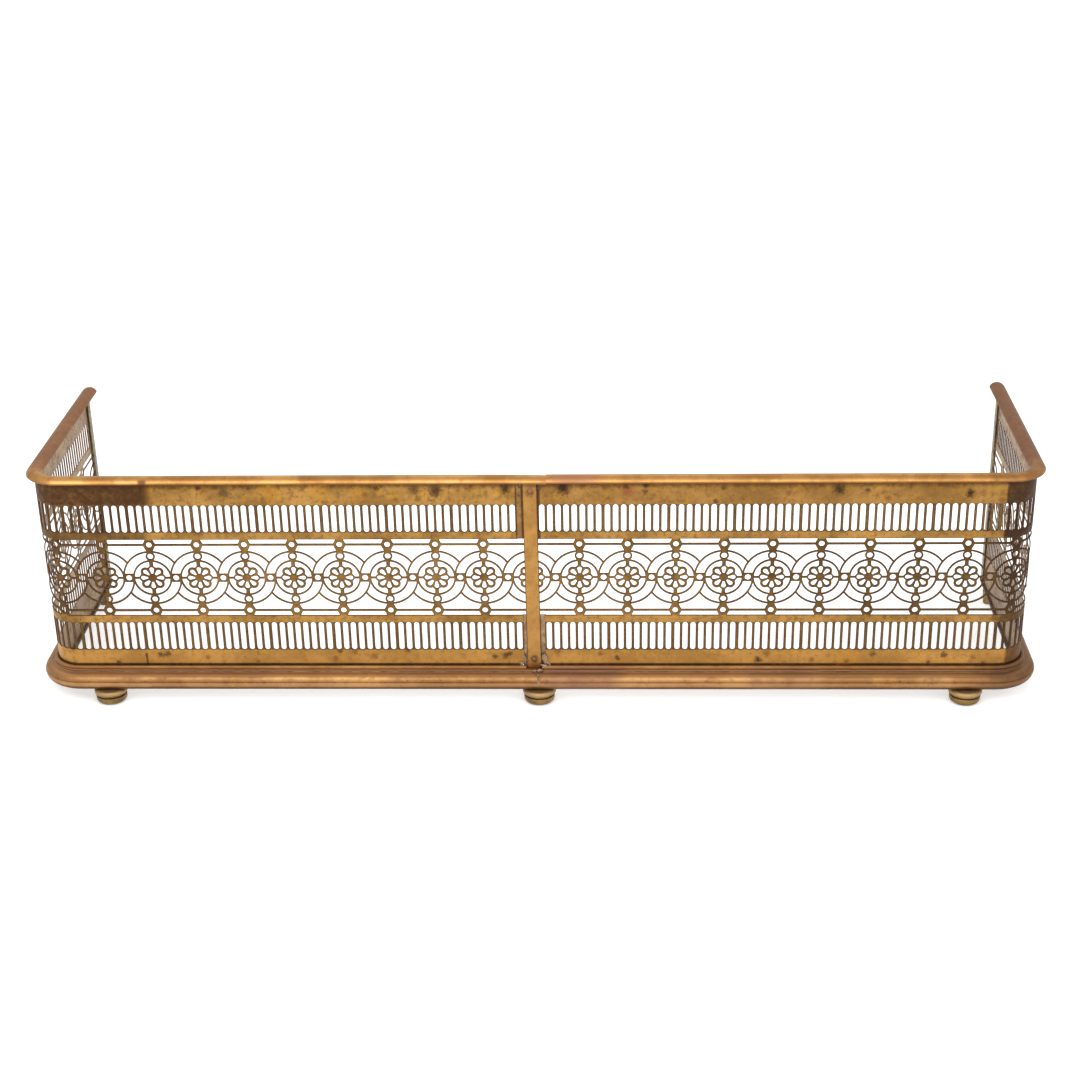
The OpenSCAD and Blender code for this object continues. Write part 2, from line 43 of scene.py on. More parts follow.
# Shared sizes in millimetres, as the CAD has them. s runs along the sheet from the middle of the front.
plan = {"width": 1040, "depth": 250, "corner": 32, "sheet": 1.2, "rearMargin": 10}
heights = {"foot": 16, "bar": 17.5, "barTop": 20.5, "moulding": 41, "lowerSlots": 59, "fieldLow": 100.25,
           "axis": 144.5, "fieldHigh": 188.75, "upperSlots": 197, "rail": 254.5, "sheetTop": 256}
strap = {"width": 15, "thickness": 1.5, "foot": 38, "corner": 4, "lean": 0.0055, "shift": 0.3, "bevel": 0.4,
         "rivetDrop": 11.5, "rivetRise": 7}
halfWidth = plan["width"] / 2
bendStart = halfWidth - plan["corner"]
middleRadius = plan["corner"] - plan["sheet"] / 2
bendEnd = bendStart + middleRadius * math.pi / 2
sheetEnd = bendEnd + plan["depth"] - plan["corner"]
piercedEnd = sheetEnd - plan["rearMargin"]


# How far the strap stands to the right of the middle at a height
def strapShift(z):
    return strap["shift"] + (heights["axis"] - z) * strap["lean"]


rivetPlaces = [(strapShift(z), -strap["thickness"], z)
               for z in (heights["rail"] - strap["rivetDrop"], heights["moulding"] + strap["rivetRise"])]


# A colour written as #rrggbb, as the linear values that a shader takes
def tone(code):
    parts = [int(code[i:i + 2], 16) / 255 for i in (1, 3, 5)]
    return tuple(p / 12.92 if p <= 0.04045 else ((p + 0.055) / 1.055) ** 2.4 for p in parts) + (1.0,)


# Links a node or a node's output to a socket, or sets the socket to a plain value
def plug(value, socket):
    value = value.outputs[0] if hasattr(value, "outputs") else value
    if hasattr(value, "is_output"):
        socket.id_data.links.new(value, socket)
    else:
        socket.default_value = value


def maths(tree, operation, *values):
    node = tree.nodes.new("ShaderNodeMath")
    node.operation = operation
    for value, socket in zip(values, node.inputs):
        plug(value, socket)
    return node.outputs[0]


def newObject(name, data):
    made = bpy.data.objects.new(name, data)
    bpy.context.scene.collection.objects.link(made)
    return made


def newPiece(name, points, faces, material=None):
    mesh = bpy.data.meshes.new(name)
    mesh.from_pydata([(x / 1000, y / 1000, z / 1000) for x, y, z in points], [], faces)
    if material:
        mesh.materials.append(material)
    return newObject(name, mesh)


def tidyMesh(piece, merge=0.00001):
    work = bmesh.new()
    work.from_mesh(piece.data)
    bmesh.ops.remove_doubles(work, verts=work.verts, dist=merge)
    bmesh.ops.dissolve_degenerate(work, edges=work.edges, dist=merge)
    bmesh.ops.recalc_face_normals(work, faces=work.faces)
    work.to_mesh(piece.data)
    work.free()


def smoothBelow(piece, angle):
    piece.data.shade_smooth()
    piece.data.set_sharp_from_angle(angle=math.radians(angle))


def settle(piece, slot, *nodes):
    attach(piece, "root")
    if nodes:
        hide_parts(*nodes)


# A geometry node tree with named inputs beside the geometry itself; gives its inputs and its end too
def newTree(name, **kinds):
    tree = bpy.data.node_groups.new(name, "GeometryNodeTree")
    tree.is_modifier = True
    tree.interface.new_socket("Geometry", in_out="INPUT", socket_type="NodeSocketGeometry")
    for kind, labels in kinds.items():
        for label in labels:
            tree.interface.new_socket(label, in_out="INPUT", socket_type="NodeSocket" + kind)
    tree.interface.new_socket("Geometry", in_out="OUTPUT", socket_type="NodeSocketGeometry")
    start, end = tree.nodes.new("NodeGroupInput"), tree.nodes.new("NodeGroupOutput")
    return tree, start.outputs, end.inputs[0]


def runTree(piece, tree, settings):
    modifier = piece.modifiers.new(tree.name, "NODES")
    modifier.node_group = tree
    for item in tree.interface.items_tree:
        if item.in_out == "INPUT" and item.name in settings:
            value = settings[item.name]
            modifier[item.identifier] = float(value) if item.socket_type == "NodeSocketFloat" else value
    applyModifiers(piece)


def applyModifiers(piece):
    graph = bpy.context.evaluated_depsgraph_get()
    made = bpy.data.meshes.new_from_object(piece.evaluated_get(graph), preserve_all_data_layers=True,
                                           depsgraph=graph)
    piece.modifiers.clear()
    piece.data = made


# A new node with its first input, where one is given, and others by name or number
def addNode(tree, kind, main=None, *links):
    node = tree.nodes.new(kind)
    if main is not None:
        plug(main, node.inputs[0])
    for socket, value in links:
        plug(value, node.inputs[socket])
    return node


def combine(tree, **axes):
    return addNode(tree, "ShaderNodeCombineXYZ", None, *axes.items())


def positionAxes(tree):
    return addNode(tree, "ShaderNodeSeparateXYZ", tree.nodes.new("GeometryNodeInputPosition")).outputs


def namedAttribute(tree, name, kind):
    node = tree.nodes.new("GeometryNodeInputNamedAttribute")
    node.data_type = kind
    node.inputs["Name"].default_value = name
    return node.outputs["Attribute"]


# Ends a tree in real geometry, with each material on its own selection
def endTree(tree, end, geometry, *coats):
    real = addNode(tree, "GeometryNodeRealizeInstances", geometry)
    for material, selection in coats:
        real = addNode(tree, "GeometryNodeSetMaterial", real, ("Selection", selection),
                       ("Material", material))
    plug(real, end)


# Lays one outline out along a row, in strokes with a little more room between them
def makeRowTree():
    tree, inputs, end = newTree("rowOfOpenings", Int=["Count"],
                                Float=["First", "Pitch", "Per Stroke", "Stroke Gap", "Height"])
    line = addNode(tree, "GeometryNodeMeshLine", inputs["Count"])
    index = tree.nodes.new("GeometryNodeInputIndex").outputs[0]
    stroke = maths(tree, "FLOOR", maths(tree, "DIVIDE", index, inputs["Per Stroke"]))
    along = maths(tree, "MULTIPLY_ADD", index, inputs["Pitch"], inputs["First"])
    along = maths(tree, "MULTIPLY_ADD", stroke, inputs["Stroke Gap"], along)
    place = combine(tree, X=along, Z=inputs["Height"])
    row = addNode(tree, "GeometryNodeSetPosition", line, ("Position", place))
    copies = addNode(tree, "GeometryNodeInstanceOnPoints", row, ("Instance", inputs["Geometry"]))
    endTree(tree, end, copies)
    return tree


# Bends what was made straight along X round the fender's front corner, for either hand
def addBend(tree, inputs, source):
    place = positionAxes(tree)
    past = maths(tree, "SUBTRACT", place["X"], inputs["Bend Start"])
    angle = maths(tree, "DIVIDE", maths(tree, "MAXIMUM", past, 0.0), inputs["Middle Radius"])
    angle = maths(tree, "MINIMUM", angle, math.pi / 2)
    back = maths(tree, "MULTIPLY_ADD", inputs["Middle Radius"], -math.pi / 2, past)
    radius = maths(tree, "SUBTRACT", inputs["Corner Radius"], place["Y"])
    x = maths(tree, "MULTIPLY", maths(tree, "SINE", angle), radius)
    x = maths(tree, "ADD", maths(tree, "MINIMUM", place["X"], inputs["Bend Start"]), x)
    x = maths(tree, "MULTIPLY", x, inputs["Hand"])
    y = maths(tree, "MULTIPLY", maths(tree, "COSINE", angle), radius)
    y = maths(tree, "SUBTRACT", inputs["Corner Radius"], y)
    y = maths(tree, "ADD", y, maths(tree, "MAXIMUM", back, 0.0))
    bent = combine(tree, X=x, Y=y, Z=place["Z"])
    moved = addNode(tree, "GeometryNodeSetPosition", source, ("Position", bent))
    leftHand = maths(tree, "LESS_THAN", inputs["Hand"], 0.0)
    return addNode(tree, "GeometryNodeFlipFaces", moved, ("Selection", leftHand))


bendSettings = {"Bend Start": bendStart / 1000, "Corner Radius": plan["corner"] / 1000,
                "Middle Radius": middleRadius / 1000}
bendInputs = [*bendSettings, "Hand"]


def makeBendTree():
    tree, inputs, end = newTree("bendRoundCorner", Float=bendInputs, Material=["Material"])
    endTree(tree, end, addBend(tree, inputs, inputs["Geometry"]), (inputs["Material"], True))
    return tree


# Gives the flat pierced drawing its rounded rims and its thickness, then bends it
def makeSheetTree():
    tree, inputs, end = newTree("piercedSheet", Float=["Thickness", "Rim Depth", *bendInputs],
                                Material=["Face", "Inside", "Cut"])
    drop = maths(tree, "MULTIPLY", namedAttribute(tree, "rim", "FLOAT"), inputs["Rim Depth"])
    front = addNode(tree, "GeometryNodeSetPosition", inputs["Geometry"], ("Offset", combine(tree, Y=drop)))
    pull = addNode(tree, "GeometryNodeExtrudeMesh", front, ("Individual", False),
                   ("Offset", combine(tree, Y=inputs["Thickness"])), ("Offset Scale", 1.0))
    place = positionAxes(tree)
    level = combine(tree, X=place["X"], Y=inputs["Thickness"], Z=place["Z"])
    back = addNode(tree, "GeometryNodeSetPosition", pull.outputs["Mesh"],
                   ("Selection", pull.outputs["Top"]), ("Position", level))
    flipped = addNode(tree, "GeometryNodeFlipFaces", back)
    both = tree.nodes.new("GeometryNodeJoinGeometry")
    plug(front, both.inputs[0])
    plug(flipped, both.inputs[0])
    closed = addNode(tree, "GeometryNodeMergeByDistance", both, ("Distance", 0.000001))
    endTree(tree, end, addBend(tree, inputs, closed), (inputs["Face"], True),
            (inputs["Inside"], pull.outputs["Top"]), (inputs["Cut"], pull.outputs["Side"]))
    return tree


# Sets one turned rivet on each point, square to its "facing", each a little differently
def makeRivetTree():
    tree, inputs, end = newTree("rivetsOnPoints", Object=["Rivet"], Float=["Tilt"], Int=["Seed"],
                                Material=["Material"])
    wobble = tree.nodes.new("FunctionNodeRandomValue")
    wobble.data_type = "FLOAT_VECTOR"
    wobble.inputs["Min"].default_value = (-1, -1, -1)
    plug(inputs["Seed"], wobble.inputs["Seed"])
    lean = addNode(tree, "ShaderNodeVectorMath", wobble.outputs["Value"])
    lean.operation = "SCALE"
    plug(inputs["Tilt"], lean.inputs["Scale"])
    aim = addNode(tree, "ShaderNodeVectorMath", namedAttribute(tree, "facing", "FLOAT_VECTOR"), (1, lean))
    turn = addNode(tree, "FunctionNodeAlignRotationToVector", None, ("Vector", aim))
    turn.axis = "Z"
    pattern = addNode(tree, "GeometryNodeObjectInfo", inputs["Rivet"])
    copies = addNode(tree, "GeometryNodeInstanceOnPoints", inputs["Geometry"],
                     ("Instance", pattern.outputs["Geometry"]), ("Rotation", turn))
    endTree(tree, end, copies, (inputs["Material"], True))
    return tree


rowTree, bendTree, sheetTree, rivetTree = makeRowTree(), makeBendTree(), makeSheetTree(), makeRivetTree()
print("node trees built")


def noise(tree, place, scale, detail=4.0, roughness=0.6, stretch=(1, 1, 1)):
    mapping = addNode(tree, "ShaderNodeMapping", place)
    mapping.inputs["Scale"].default_value = stretch
    node = addNode(tree, "ShaderNodeTexNoise", mapping, ("Scale", scale), ("Detail", detail),
                   ("Roughness", roughness))
    return node.outputs[0]


def between(tree, value, low, high, outLow=0.0, outHigh=1.0):
    node = addNode(tree, "ShaderNodeMapRange", value, ("From Min", low), ("From Max", high),
                   ("To Min", outLow), ("To Max", outHigh))
    node.interpolation_type = "SMOOTHSTEP"
    return node.outputs[0]


# Colour over another one; a Mix node has its colours at inputs 6 and 7 and its result at output 2
def mixed(tree, amount, under, over):
    node = tree.nodes.new("ShaderNodeMix")
    node.data_type = "RGBA"
    for value, socket in ((amount, node.inputs[0]), (under, node.inputs[6]), (over, node.inputs[7])):
        plug(value, socket)
    return node.outputs[2]


# Where a place lies inside a block of {axis: (from, to, softness)}, its edges moved a little by the wobble
def inside(tree, at, wobble, block):
    amount = 1.0
    for axis, (low, high, soft) in block.items():
        moved = maths(tree, "SUBTRACT", at[axis], soft / 1000)
        moved = maths(tree, "MULTIPLY_ADD", wobble, soft / 500, moved)
        for edge, way in ((low, soft), (high, -soft)):
            fade = between(tree, moved, (edge - way) / 1000, (edge + way) / 1000)
            amount = maths(tree, "MULTIPLY", amount, fade)
    return amount


# X, Y and Z of a place, and how far it stands to the side of the strap's middle line
def axesOf(tree, place):
    at = addNode(tree, "ShaderNodeSeparateXYZ", place).outputs
    middle = maths(tree, "MULTIPLY_ADD", at["Z"], -strap["lean"], strapShift(0) / 1000)
    side = maths(tree, "ABSOLUTE", maths(tree, "SUBTRACT", at["X"], middle))
    return {"X": at["X"], "Y": at["Y"], "Z": at["Z"], "Side": side}


# The noise values between which each tone comes in
fades = {"cloud": (0.36, 0.64), "golden": (0.52, 0.66), "mottle": (0.45, 0.68), "fleck": (0.63, 0.7),
         "rim": (0.0, 0.55)}


# Old metal: clouds of two tones, golden areas, brown mottling and flecks, then patches (some of them painted
# light and shade), stains and dark rims (painted shade with patina)
def agedMetal(name, look, patches=(), stains=(), rims=0.0):
    material = bpy.data.materials.new(name)
    material.use_nodes = True
    tree = material.node_tree
    shader = tree.nodes["Principled BSDF"]
    place = tree.nodes.new("ShaderNodeTexCoord").outputs["Object"]
    at = axesOf(tree, place)
    cloud = noise(tree, place, look["cloudScale"], 4, 0.55, look["streak"])
    mottle = noise(tree, place, look["mottleScale"], 7, 0.7)
    fleck = noise(tree, place, look["fleckScale"], 3, 0.55)
    colour = mixed(tree, between(tree, cloud, *fades["cloud"]), tone(look["deep"]), tone(look["bright"]))
    glow = noise(tree, place, look["cloudScale"] * 2.3, 5, 0.65)
    golden = between(tree, glow, *fades["golden"], 0.0, look["gold"])
    colour = mixed(tree, golden, colour, tone(look["golden"]))
    tarnish = between(tree, mottle, *fades["mottle"], 0.0, look["mottle"])
    colour = mixed(tree, tarnish, colour, tone(look["brown"]))
    speck = between(tree, fleck, *fades["fleck"], 0.0, look["fleck"])
    speck = maths(tree, "MULTIPLY", speck, between(tree, cloud, 0.7, 0.4, 0.35, 1.0))
    colour = mixed(tree, speck, colour, tone(look["dark"]))
    dirtAndPaintedLight = maths(tree, "MAXIMUM", tarnish, speck)
    # Patches are painted light and shade as well as dirt; every patch dulls the metal
    for block, code, strength in patches:
        mask = inside(tree, at, mottle, block)
        mask = maths(tree, "MULTIPLY", mask, between(tree, mottle, 0.3, 0.6, strength * 0.8, strength))
        colour = mixed(tree, mask, colour, tone(code))
        dirtAndPaintedLight = maths(tree, "MAXIMUM", dirtAndPaintedLight, mask)
    # The noises add about twice the radius to the distance; a stain fades from 2.3 to 3.45 radii of the sum
    for x, y, z, radius, code, strength in stains:
        gapTo = addNode(tree, "ShaderNodeVectorMath", place, (1, (x / 1000, y / 1000, z / 1000)))
        gapTo.operation = "DISTANCE"
        ragged = maths(tree, "MULTIPLY_ADD", mottle, radius / 350, gapTo.outputs["Value"])
        ragged = maths(tree, "MULTIPLY_ADD", fleck, radius / 700, ragged)
        mask = between(tree, ragged, radius / 290, radius / 430, 0.0, strength)
        colour = mixed(tree, mask, colour, tone(code))
        dirtAndPaintedLight = maths(tree, "MAXIMUM", dirtAndPaintedLight, mask)
    # Dark rims round the openings: painted shade of the cut walls, with patina
    if rims:
        rim = addNode(tree, "ShaderNodeAttribute")
        rim.attribute_name = "rim"
        rimShade = maths(tree, "MULTIPLY", between(tree, rim.outputs["Fac"], *fades["rim"]), rims)
        colour = mixed(tree, rimShade, colour, tone(look["dark"]))
    plug(colour, shader.inputs["Base Color"])
    metal = look["metallic"]
    plug(between(tree, dirtAndPaintedLight, 0.2, 1.0, metal, metal * 0.7), shader.inputs["Metallic"])
    low, high = look["roughness"]
    plug(between(tree, dirtAndPaintedLight, 0.0, 0.9, low, high), shader.inputs["Roughness"])
    grain = noise(tree, place, look["grainScale"], 3)
    height = maths(tree, "MULTIPLY_ADD", mottle, 0.6, maths(tree, "MULTIPLY", grain, 0.4))
    height = maths(tree, "MULTIPLY_ADD", speck, -0.5, height)
    bump = addNode(tree, "ShaderNodeBump", None, ("Height", height), ("Strength", look["bump"]),
                   ("Distance", 0.0004))
    swell = addNode(tree, "ShaderNodeBump", None, ("Height", noise(tree, place, 14, 2, 0.5)),
                    ("Strength", look["swell"]), ("Distance", 0.004), ("Normal", bump))
    plug(swell, shader.inputs["Normal"])
    return material


metalLook = {"gold": 0.4, "mottle": 0.7, "fleck": 0.7, "roughness": (0.36, 0.6), "metallic": 1.0,
             "grainScale": 900, "bump": 0.3, "swell": 0.3, "streak": (1, 1, 1)}


# A look from another one: its tones, its noises' scales per metre, and how much of each shows
def lookFrom(base, tones, scales=(), **changes):
    named = dict(zip(("deep", "bright", "golden", "brown", "dark"), tones.split()))
    named.update(zip(("cloudScale", "mottleScale", "fleckScale"), scales))
    return {**base, **named, **changes}


galleryLook = lookFrom(metalLook, "#876433 #ab8146 #b98829 #6d4b2a #35200f", (26, 140, 330), gold=0.45,
                       fleck=0.9, roughness=(0.36, 0.62), streak=(0.6, 0.6, 1))
# The inside faces and the cut walls take darker, greyer copies of the gallery's brass: painted shade
insideLook = lookFrom(galleryLook, "#7a5f43 #9b7f5e #967a4a #694f33 #3c2a18", gold=0.3, metallic=0.85,
                      roughness=(0.45, 0.7))
cutLook = lookFrom(galleryLook, "#4a3119 #65452a #5c4020 #3b2613 #20140a", gold=0.2, metallic=0.6,
                   roughness=(0.6, 0.8))
plateLook = lookFrom(galleryLook, "#7c5c38 #967244 #9a7440", gold=0.3)
railLook = lookFrom(metalLook, "#a3743f #c79458 #cf9c55 #8d6038 #4a2d18", (16, 90, 300), mottle=0.4,
                    fleck=0.4, roughness=(0.4, 0.55), grainScale=700, bump=0.08, swell=0.15)
mouldingLook = lookFrom(metalLook, "#8f663e #b48858 #b98a4d #754e30 #3c2414", (14, 80, 300), mottle=0.5,
                        fleck=0.55, roughness=(0.44, 0.6), grainScale=700, bump=0.12, swell=0.2)
strapLook = lookFrom(metalLook, "#9b713c #ae8248 #b98a42 #8f6336 #4d3017", (30, 130, 380), gold=0.3,
                     mottle=0.45, fleck=0.4, roughness=(0.33, 0.5), grainScale=800, bump=0.2, swell=0.2)
oldLook = lookFrom(metalLook, "#7d623c #a07f4c #ab884b #553f26 #2a1c0e", (60, 170, 500))
rivetLook = lookFrom(oldLook, "#6b4a3b #8e6c5a #8c6a48 #4c2f24")
footLook = lookFrom(oldLook, "#735c3b #8e7349 #957744", mottle=0.55)
stileLook = lookFrom(oldLook, "#6d634d #8a7f66 #8c7a50 #574a33")
solderLook = lookFrom(metalLook, "#836c55 #a58d72 #b39a74 #6b4f36 #3d2c1c", (80, 240, 600), gold=0.3,
                      mottle=0.6, fleck=0.5, roughness=(0.45, 0.65), bump=0.4, metallic=0.9)
ironLook = lookFrom(metalLook, "#4a4038 #685a4b #6a4c33 #5a3a22 #241c16", (50, 160, 500), fleck=0.6,
                    roughness=(0.55, 0.85), bump=0.6, metallic=0.7)

# Patches: a block in millimetres with the softness of each edge, then colour and strength
upperRow, lowerRow = (197, 228, 0.5), (59, 92, 0.5)
fretZone = (100.6, 188.4, 0.6)
galleryPatches = [
    ({"Z": (43, 59, 1)}, "#c48d48", 0.28), ({"X": (40, 560, 60), "Z": (228, 257, 1)}, "#7d5830", 0.3),
    ({"Z": upperRow}, "#48341f", 0.72), ({"Z": lowerRow}, "#48341f", 0.72),
    ({"Z": fretZone}, "#4e361c", 0.45), ({"X": (200, 620, 110), "Z": fretZone}, "#3a2a16", 0.6),
    # Painted shade: the left end of the fret, in shade in the corner, and the shadow under the rail's lip (Z
    # 247.5 to 262)
    ({"X": (-620, -370, 40), "Z": fretZone}, "#3f2815", 0.55), ({"Z": (247.5, 262, 3.2)}, "#4a2b08", 0.7),
    # Painted shade and dirt in the crevice above the bead (Z 36 to 42.8)
    ({"Z": (36, 42.8, 0.6)}, "#37220f", 0.85),
    # Painted shadow beside the strap and at the left sheet's end, in the upper and the lower band, with some
    # dirt
    ({"Side": (-1, 10.2, 0.8), "Z": (188, 257, 1)}, "#3d2612", 0.85),
    ({"X": (-15.6, -13, 0.4), "Z": (188, 257, 1)}, "#3d2612", 0.75),
    ({"Side": (-1, 10.6, 0.8), "Z": (20, 101, 1)}, "#3d2612", 0.6),
    ({"X": (-560, -396, 6), "Z": (228, 257, 2)}, "#42240a", 0.94),
    ({"X": (-560, -402, 6), "Z": (187, 228, 2)}, "#4a3018", 0.7),
    ({"X": (-417, -414.8, 0.5), "Z": (36, 55, 1.5)}, "#37220f", 0.8),
    # Painted dark reflection on the right bend, in the fret and in both bands
    ({"X": (486, 560, 8), "Z": (60, 228, 2)}, "#2e1a0c", 0.7),
    ({"X": (485, 560, 1.5), "Z": (189, 257, 2)}, "#321b0b", 0.92),
    ({"X": (498, 560, 2), "Z": (30, 60, 2)}, "#46290f", 0.85)]
railPatches = [
    ({"Y": (30, 310, 20)}, "#784d33", 0.8), ({"X": (20, 70, 14)}, "#b07c60", 0.55),
    ({"X": (480, 560, 24)}, "#6d452b", 0.6), ({"Z": (253.5, 255.9, 0.3)}, "#7a4f26", 0.6),
    ({"X": (-402, -394, 2), "Z": (254, 259, 1)}, "#54361f", 0.75)]
# Painted light and shade across the profile: the dark cove (Z 34.4 to 36) and the dark groove line are
# painted shade, the lighter ledge under the bead and the lighter top of the torus are painted light, the
# band at Z 23.6 to 26.2 is a painted highlight, and the dark edge below Z 21.8 is a painted reflection of
# dark ground
mouldingPatches = [
    ({"Z": (34.4, 36, 0.4)}, "#4a2f1a", 0.8), ({"Z": (35.9, 37.1, 0.3)}, "#d2a678", 0.8),
    ({"Z": (37.2, 41, 0.4)}, "#8a613a", 0.5), ({"Z": (32.6, 34.4, 0.4)}, "#b58c60", 0.6),
    ({"Z": (27.1, 28.2, 0.3)}, "#5b3c20", 0.25), ({"Z": (23.6, 26.2, 0.8)}, "#c89c6c", 0.3),
    ({"Z": (10, 21.8, 1.2)}, "#46290f", 0.9), ({"X": (12, 90, 14)}, "#80584a", 0.55),
    ({"X": (230, 300, 16)}, "#86604a", 0.35), ({"X": (475, 560, 28)}, "#583b28", 0.65),
    ({"X": (-560, -515, 12)}, "#6a4a33", 0.4), ({"Y": (20, 310, 15)}, "#80603f", 0.4)]
# Stains of the two bands: tone, strength, then where they lie on the front as (x, z, radius)
bandMarks = {
    "gold": ("#c0882f", 0.36, [(-270, 243, 14), (-218, 243, 13), (-177, 241, 9), (330, 50, 11)]),
    "rust": ("#6b4122", 0.6, [(-170, 240, 3.5), (-115, 235, 4), (54, 249, 3), (77, 246, 3.5),
        (264, 240, 3.5), (365, 234, 3.5), (481, 231, 4.5), (-350, 50, 3.5), (-296, 45, 3),
        (-212, 48, 4.5), (-191, 57, 4.5), (-171, 51, 5), (26, 57, 4), (71, 54, 3.5), (247, 55, 5),
        (295, 47, 3.5), (332, 45, 3.5), (464, 50, 3.5)]),
    "moss": ("#4a3a20", 0.72, [(-316, 243, 6.5), (-119, 245, 7)]),
    "plum": ("#43231b", 0.88, [(-342, 248, 3), (-97, 244, 7.5), (34, 246, 8)]),
    "red": ("#8a4c31", 0.7, [(100, 242, 7.5)]),
    "umber": ("#462a14", 0.76, [(-290, 247, 2.5), (-158, 247, 3.5), (98, 248, 4), (118, 242, 3.5),
        (190, 231, 3), (198, 246, 3), (344, 243, 3.5), (448, 239, 5.5), (-447, 44, 3), (-401, 53, 4),
        (-393, 54, 4.5), (-207, 57, 3.5), (-134, 58, 3), (-41, 51, 3.5), (-30, 52, 4.5), (-25, 54, 3.5),
        (89, 49, 3), (359, 54, 4), (418, 44, 3), (434, 53, 4), (476, 43, 3)]),
    "black": ("#2b1b0e", 0.88, [(-25, 246, 6.5), (34, 247, 4.5), (119, 250, 4), (315, 244, 7),
        (448, 239, 3.5), (238, 47, 4.5)])}
bandStains = [(x, 0, z, radius, code, strength) for code, strength, marks in bandMarks.values()
              for x, z, radius in marks]
# Painted light on the top roll, which lies in shade under the moulding, and painted shade in the groove;
# darker at the bottom edge
footPatches = [({"Z": (12.4, 17, 0.6)}, "#c2a070", 0.6), ({"Z": (7.6, 9.2, 0.3)}, "#5a3f22", 0.7),
               ({"Z": (-1, 1.6, 0.6)}, "#5f4a30", 0.7)]
# Painted shade on the strap: its dark edges beside the sheets, and the rail's shadow across its top (Z 248
# to 260)
strapPatches = [({"Side": (6.7, 9, 0.3)}, "#4a2c12", 0.85), ({"Z": (248, 260, 2)}, "#5a3a1c", 0.6)]
strapStains = [(*place, 5, "#4f2c1a", 0.85) for place in rivetPlaces]
galleryBrass = agedMetal("galleryBrass", galleryLook, galleryPatches, bandStains, rims=0.95)
galleryInside = agedMetal("galleryInside", insideLook, rims=0.7)
cutBrass = agedMetal("cutEdges", cutLook)
railBrass = agedMetal("railBrass", railLook, railPatches)
mouldingBrass = agedMetal("mouldingBrass", mouldingLook, mouldingPatches)
strapBrass = agedMetal("strapBrass", strapLook, strapPatches, strapStains)
oldBrass = agedMetal("oldBrass", oldLook)
stileBrass = agedMetal("stileBrass", stileLook)
# The joint plate is darker beside the strap: painted shade
plateBrass = agedMetal("plateBrass", plateLook, [({"Side": (-1, 9.4, 0.6)}, "#3a2412", 0.7)])
rivetBrass = agedMetal("rivetBrass", rivetLook)
footBrass = agedMetal("footBrass", footLook, footPatches)
# The solder is darker under the rail (Z 240 to 262): painted shadow
dullSolder = agedMetal("dullSolder", solderLook, [({"Z": (240, 262, 3)}, "#4a3322", 0.8)])
darkIron = agedMetal("darkIron", ironLook)
print("materials made")


# Sizes of the fretwork and the slots, in millimetres; the outlines lie round one rosette
fret = {
    "pitch": 50, "wire": 1.9, "ring": 19.7, "rosette": 12.6, "petalReach": 9.9, "petalWidth": 5,
    "petalStart": 4.6, "petalStartWidth": 2, "lobeRim": 2.6, "sideRim": 1.6, "uprightBar": 4,
    "levelBar": 2.2, "eyelet": 25, "eyeletRadius": 5, "longWire": 38.3, "longWireWidth": 2.3,
    "diamondWide": 7, "diamondHigh": 14, "neck": 6.8, "eye": 3.1, "linkEye": 3.2, "linkHeight": 9.6,
    "fieldHeight": 88.5}
slots = {"upperHeight": 31, "lowerHeight": 33, "width": 5.6, "pitch": 8.35, "perStroke": 8,
         "strokeGap": 0.75, "firstBar": 1.6}
# Where the upper and the lower band of each sheet end beside the strap
sheetEnds = {1: {"upper": 7.4, "lower": 12.8}, -1: {"upper": 14.2, "lower": 9.8}}
# Extra lines across a sheet, so that it bends evenly: steps round the bend, and a grid clear of the bend
sheetLines = {"bendSteps": 26, "grid": 25.0, "gridLines": 29, "clear": 5}
rimWidth, rimDepth, rimStep, buttGap, bandCorner = 0.65, 0.25, 0.35, 0.1, 4.5


# Points on an arc, its angles in degrees
def arc(cx, cy, radius, start, end, step=9.0):
    count = max(2, math.ceil(abs(end - start) / step))
    turns = [math.radians(start + (end - start) * i / count) for i in range(count + 1)]
    return [(cx + radius * math.cos(a), cy + radius * math.sin(a)) for a in turns]


def degrees(x, y):
    return math.degrees(math.atan2(y, x))


def sineAngle(value):
    return math.degrees(math.asin(value))


def cosineAngle(value):
    return math.degrees(math.acos(value))


# Where a circle on the X axis cuts a body circle: the angle on the body, and the angle on itself
def bite(body, reach, radius):
    x = (body ** 2 - radius ** 2 + reach ** 2) / (2 * reach)
    y = math.sqrt(body ** 2 - x ** 2)
    return degrees(x, y), degrees(x - reach, y)


def petalOutline():
    reach, radius = fret["petalReach"], fret["petalWidth"] / 2
    start, half = fret["petalStart"], fret["petalStartWidth"] / 2
    slope = degrees(reach - start, radius - half)
    return [(start, -half)] + arc(reach, 0, radius, -90 - 2 * slope, 90 + 2 * slope, 24) + [(start, half)]


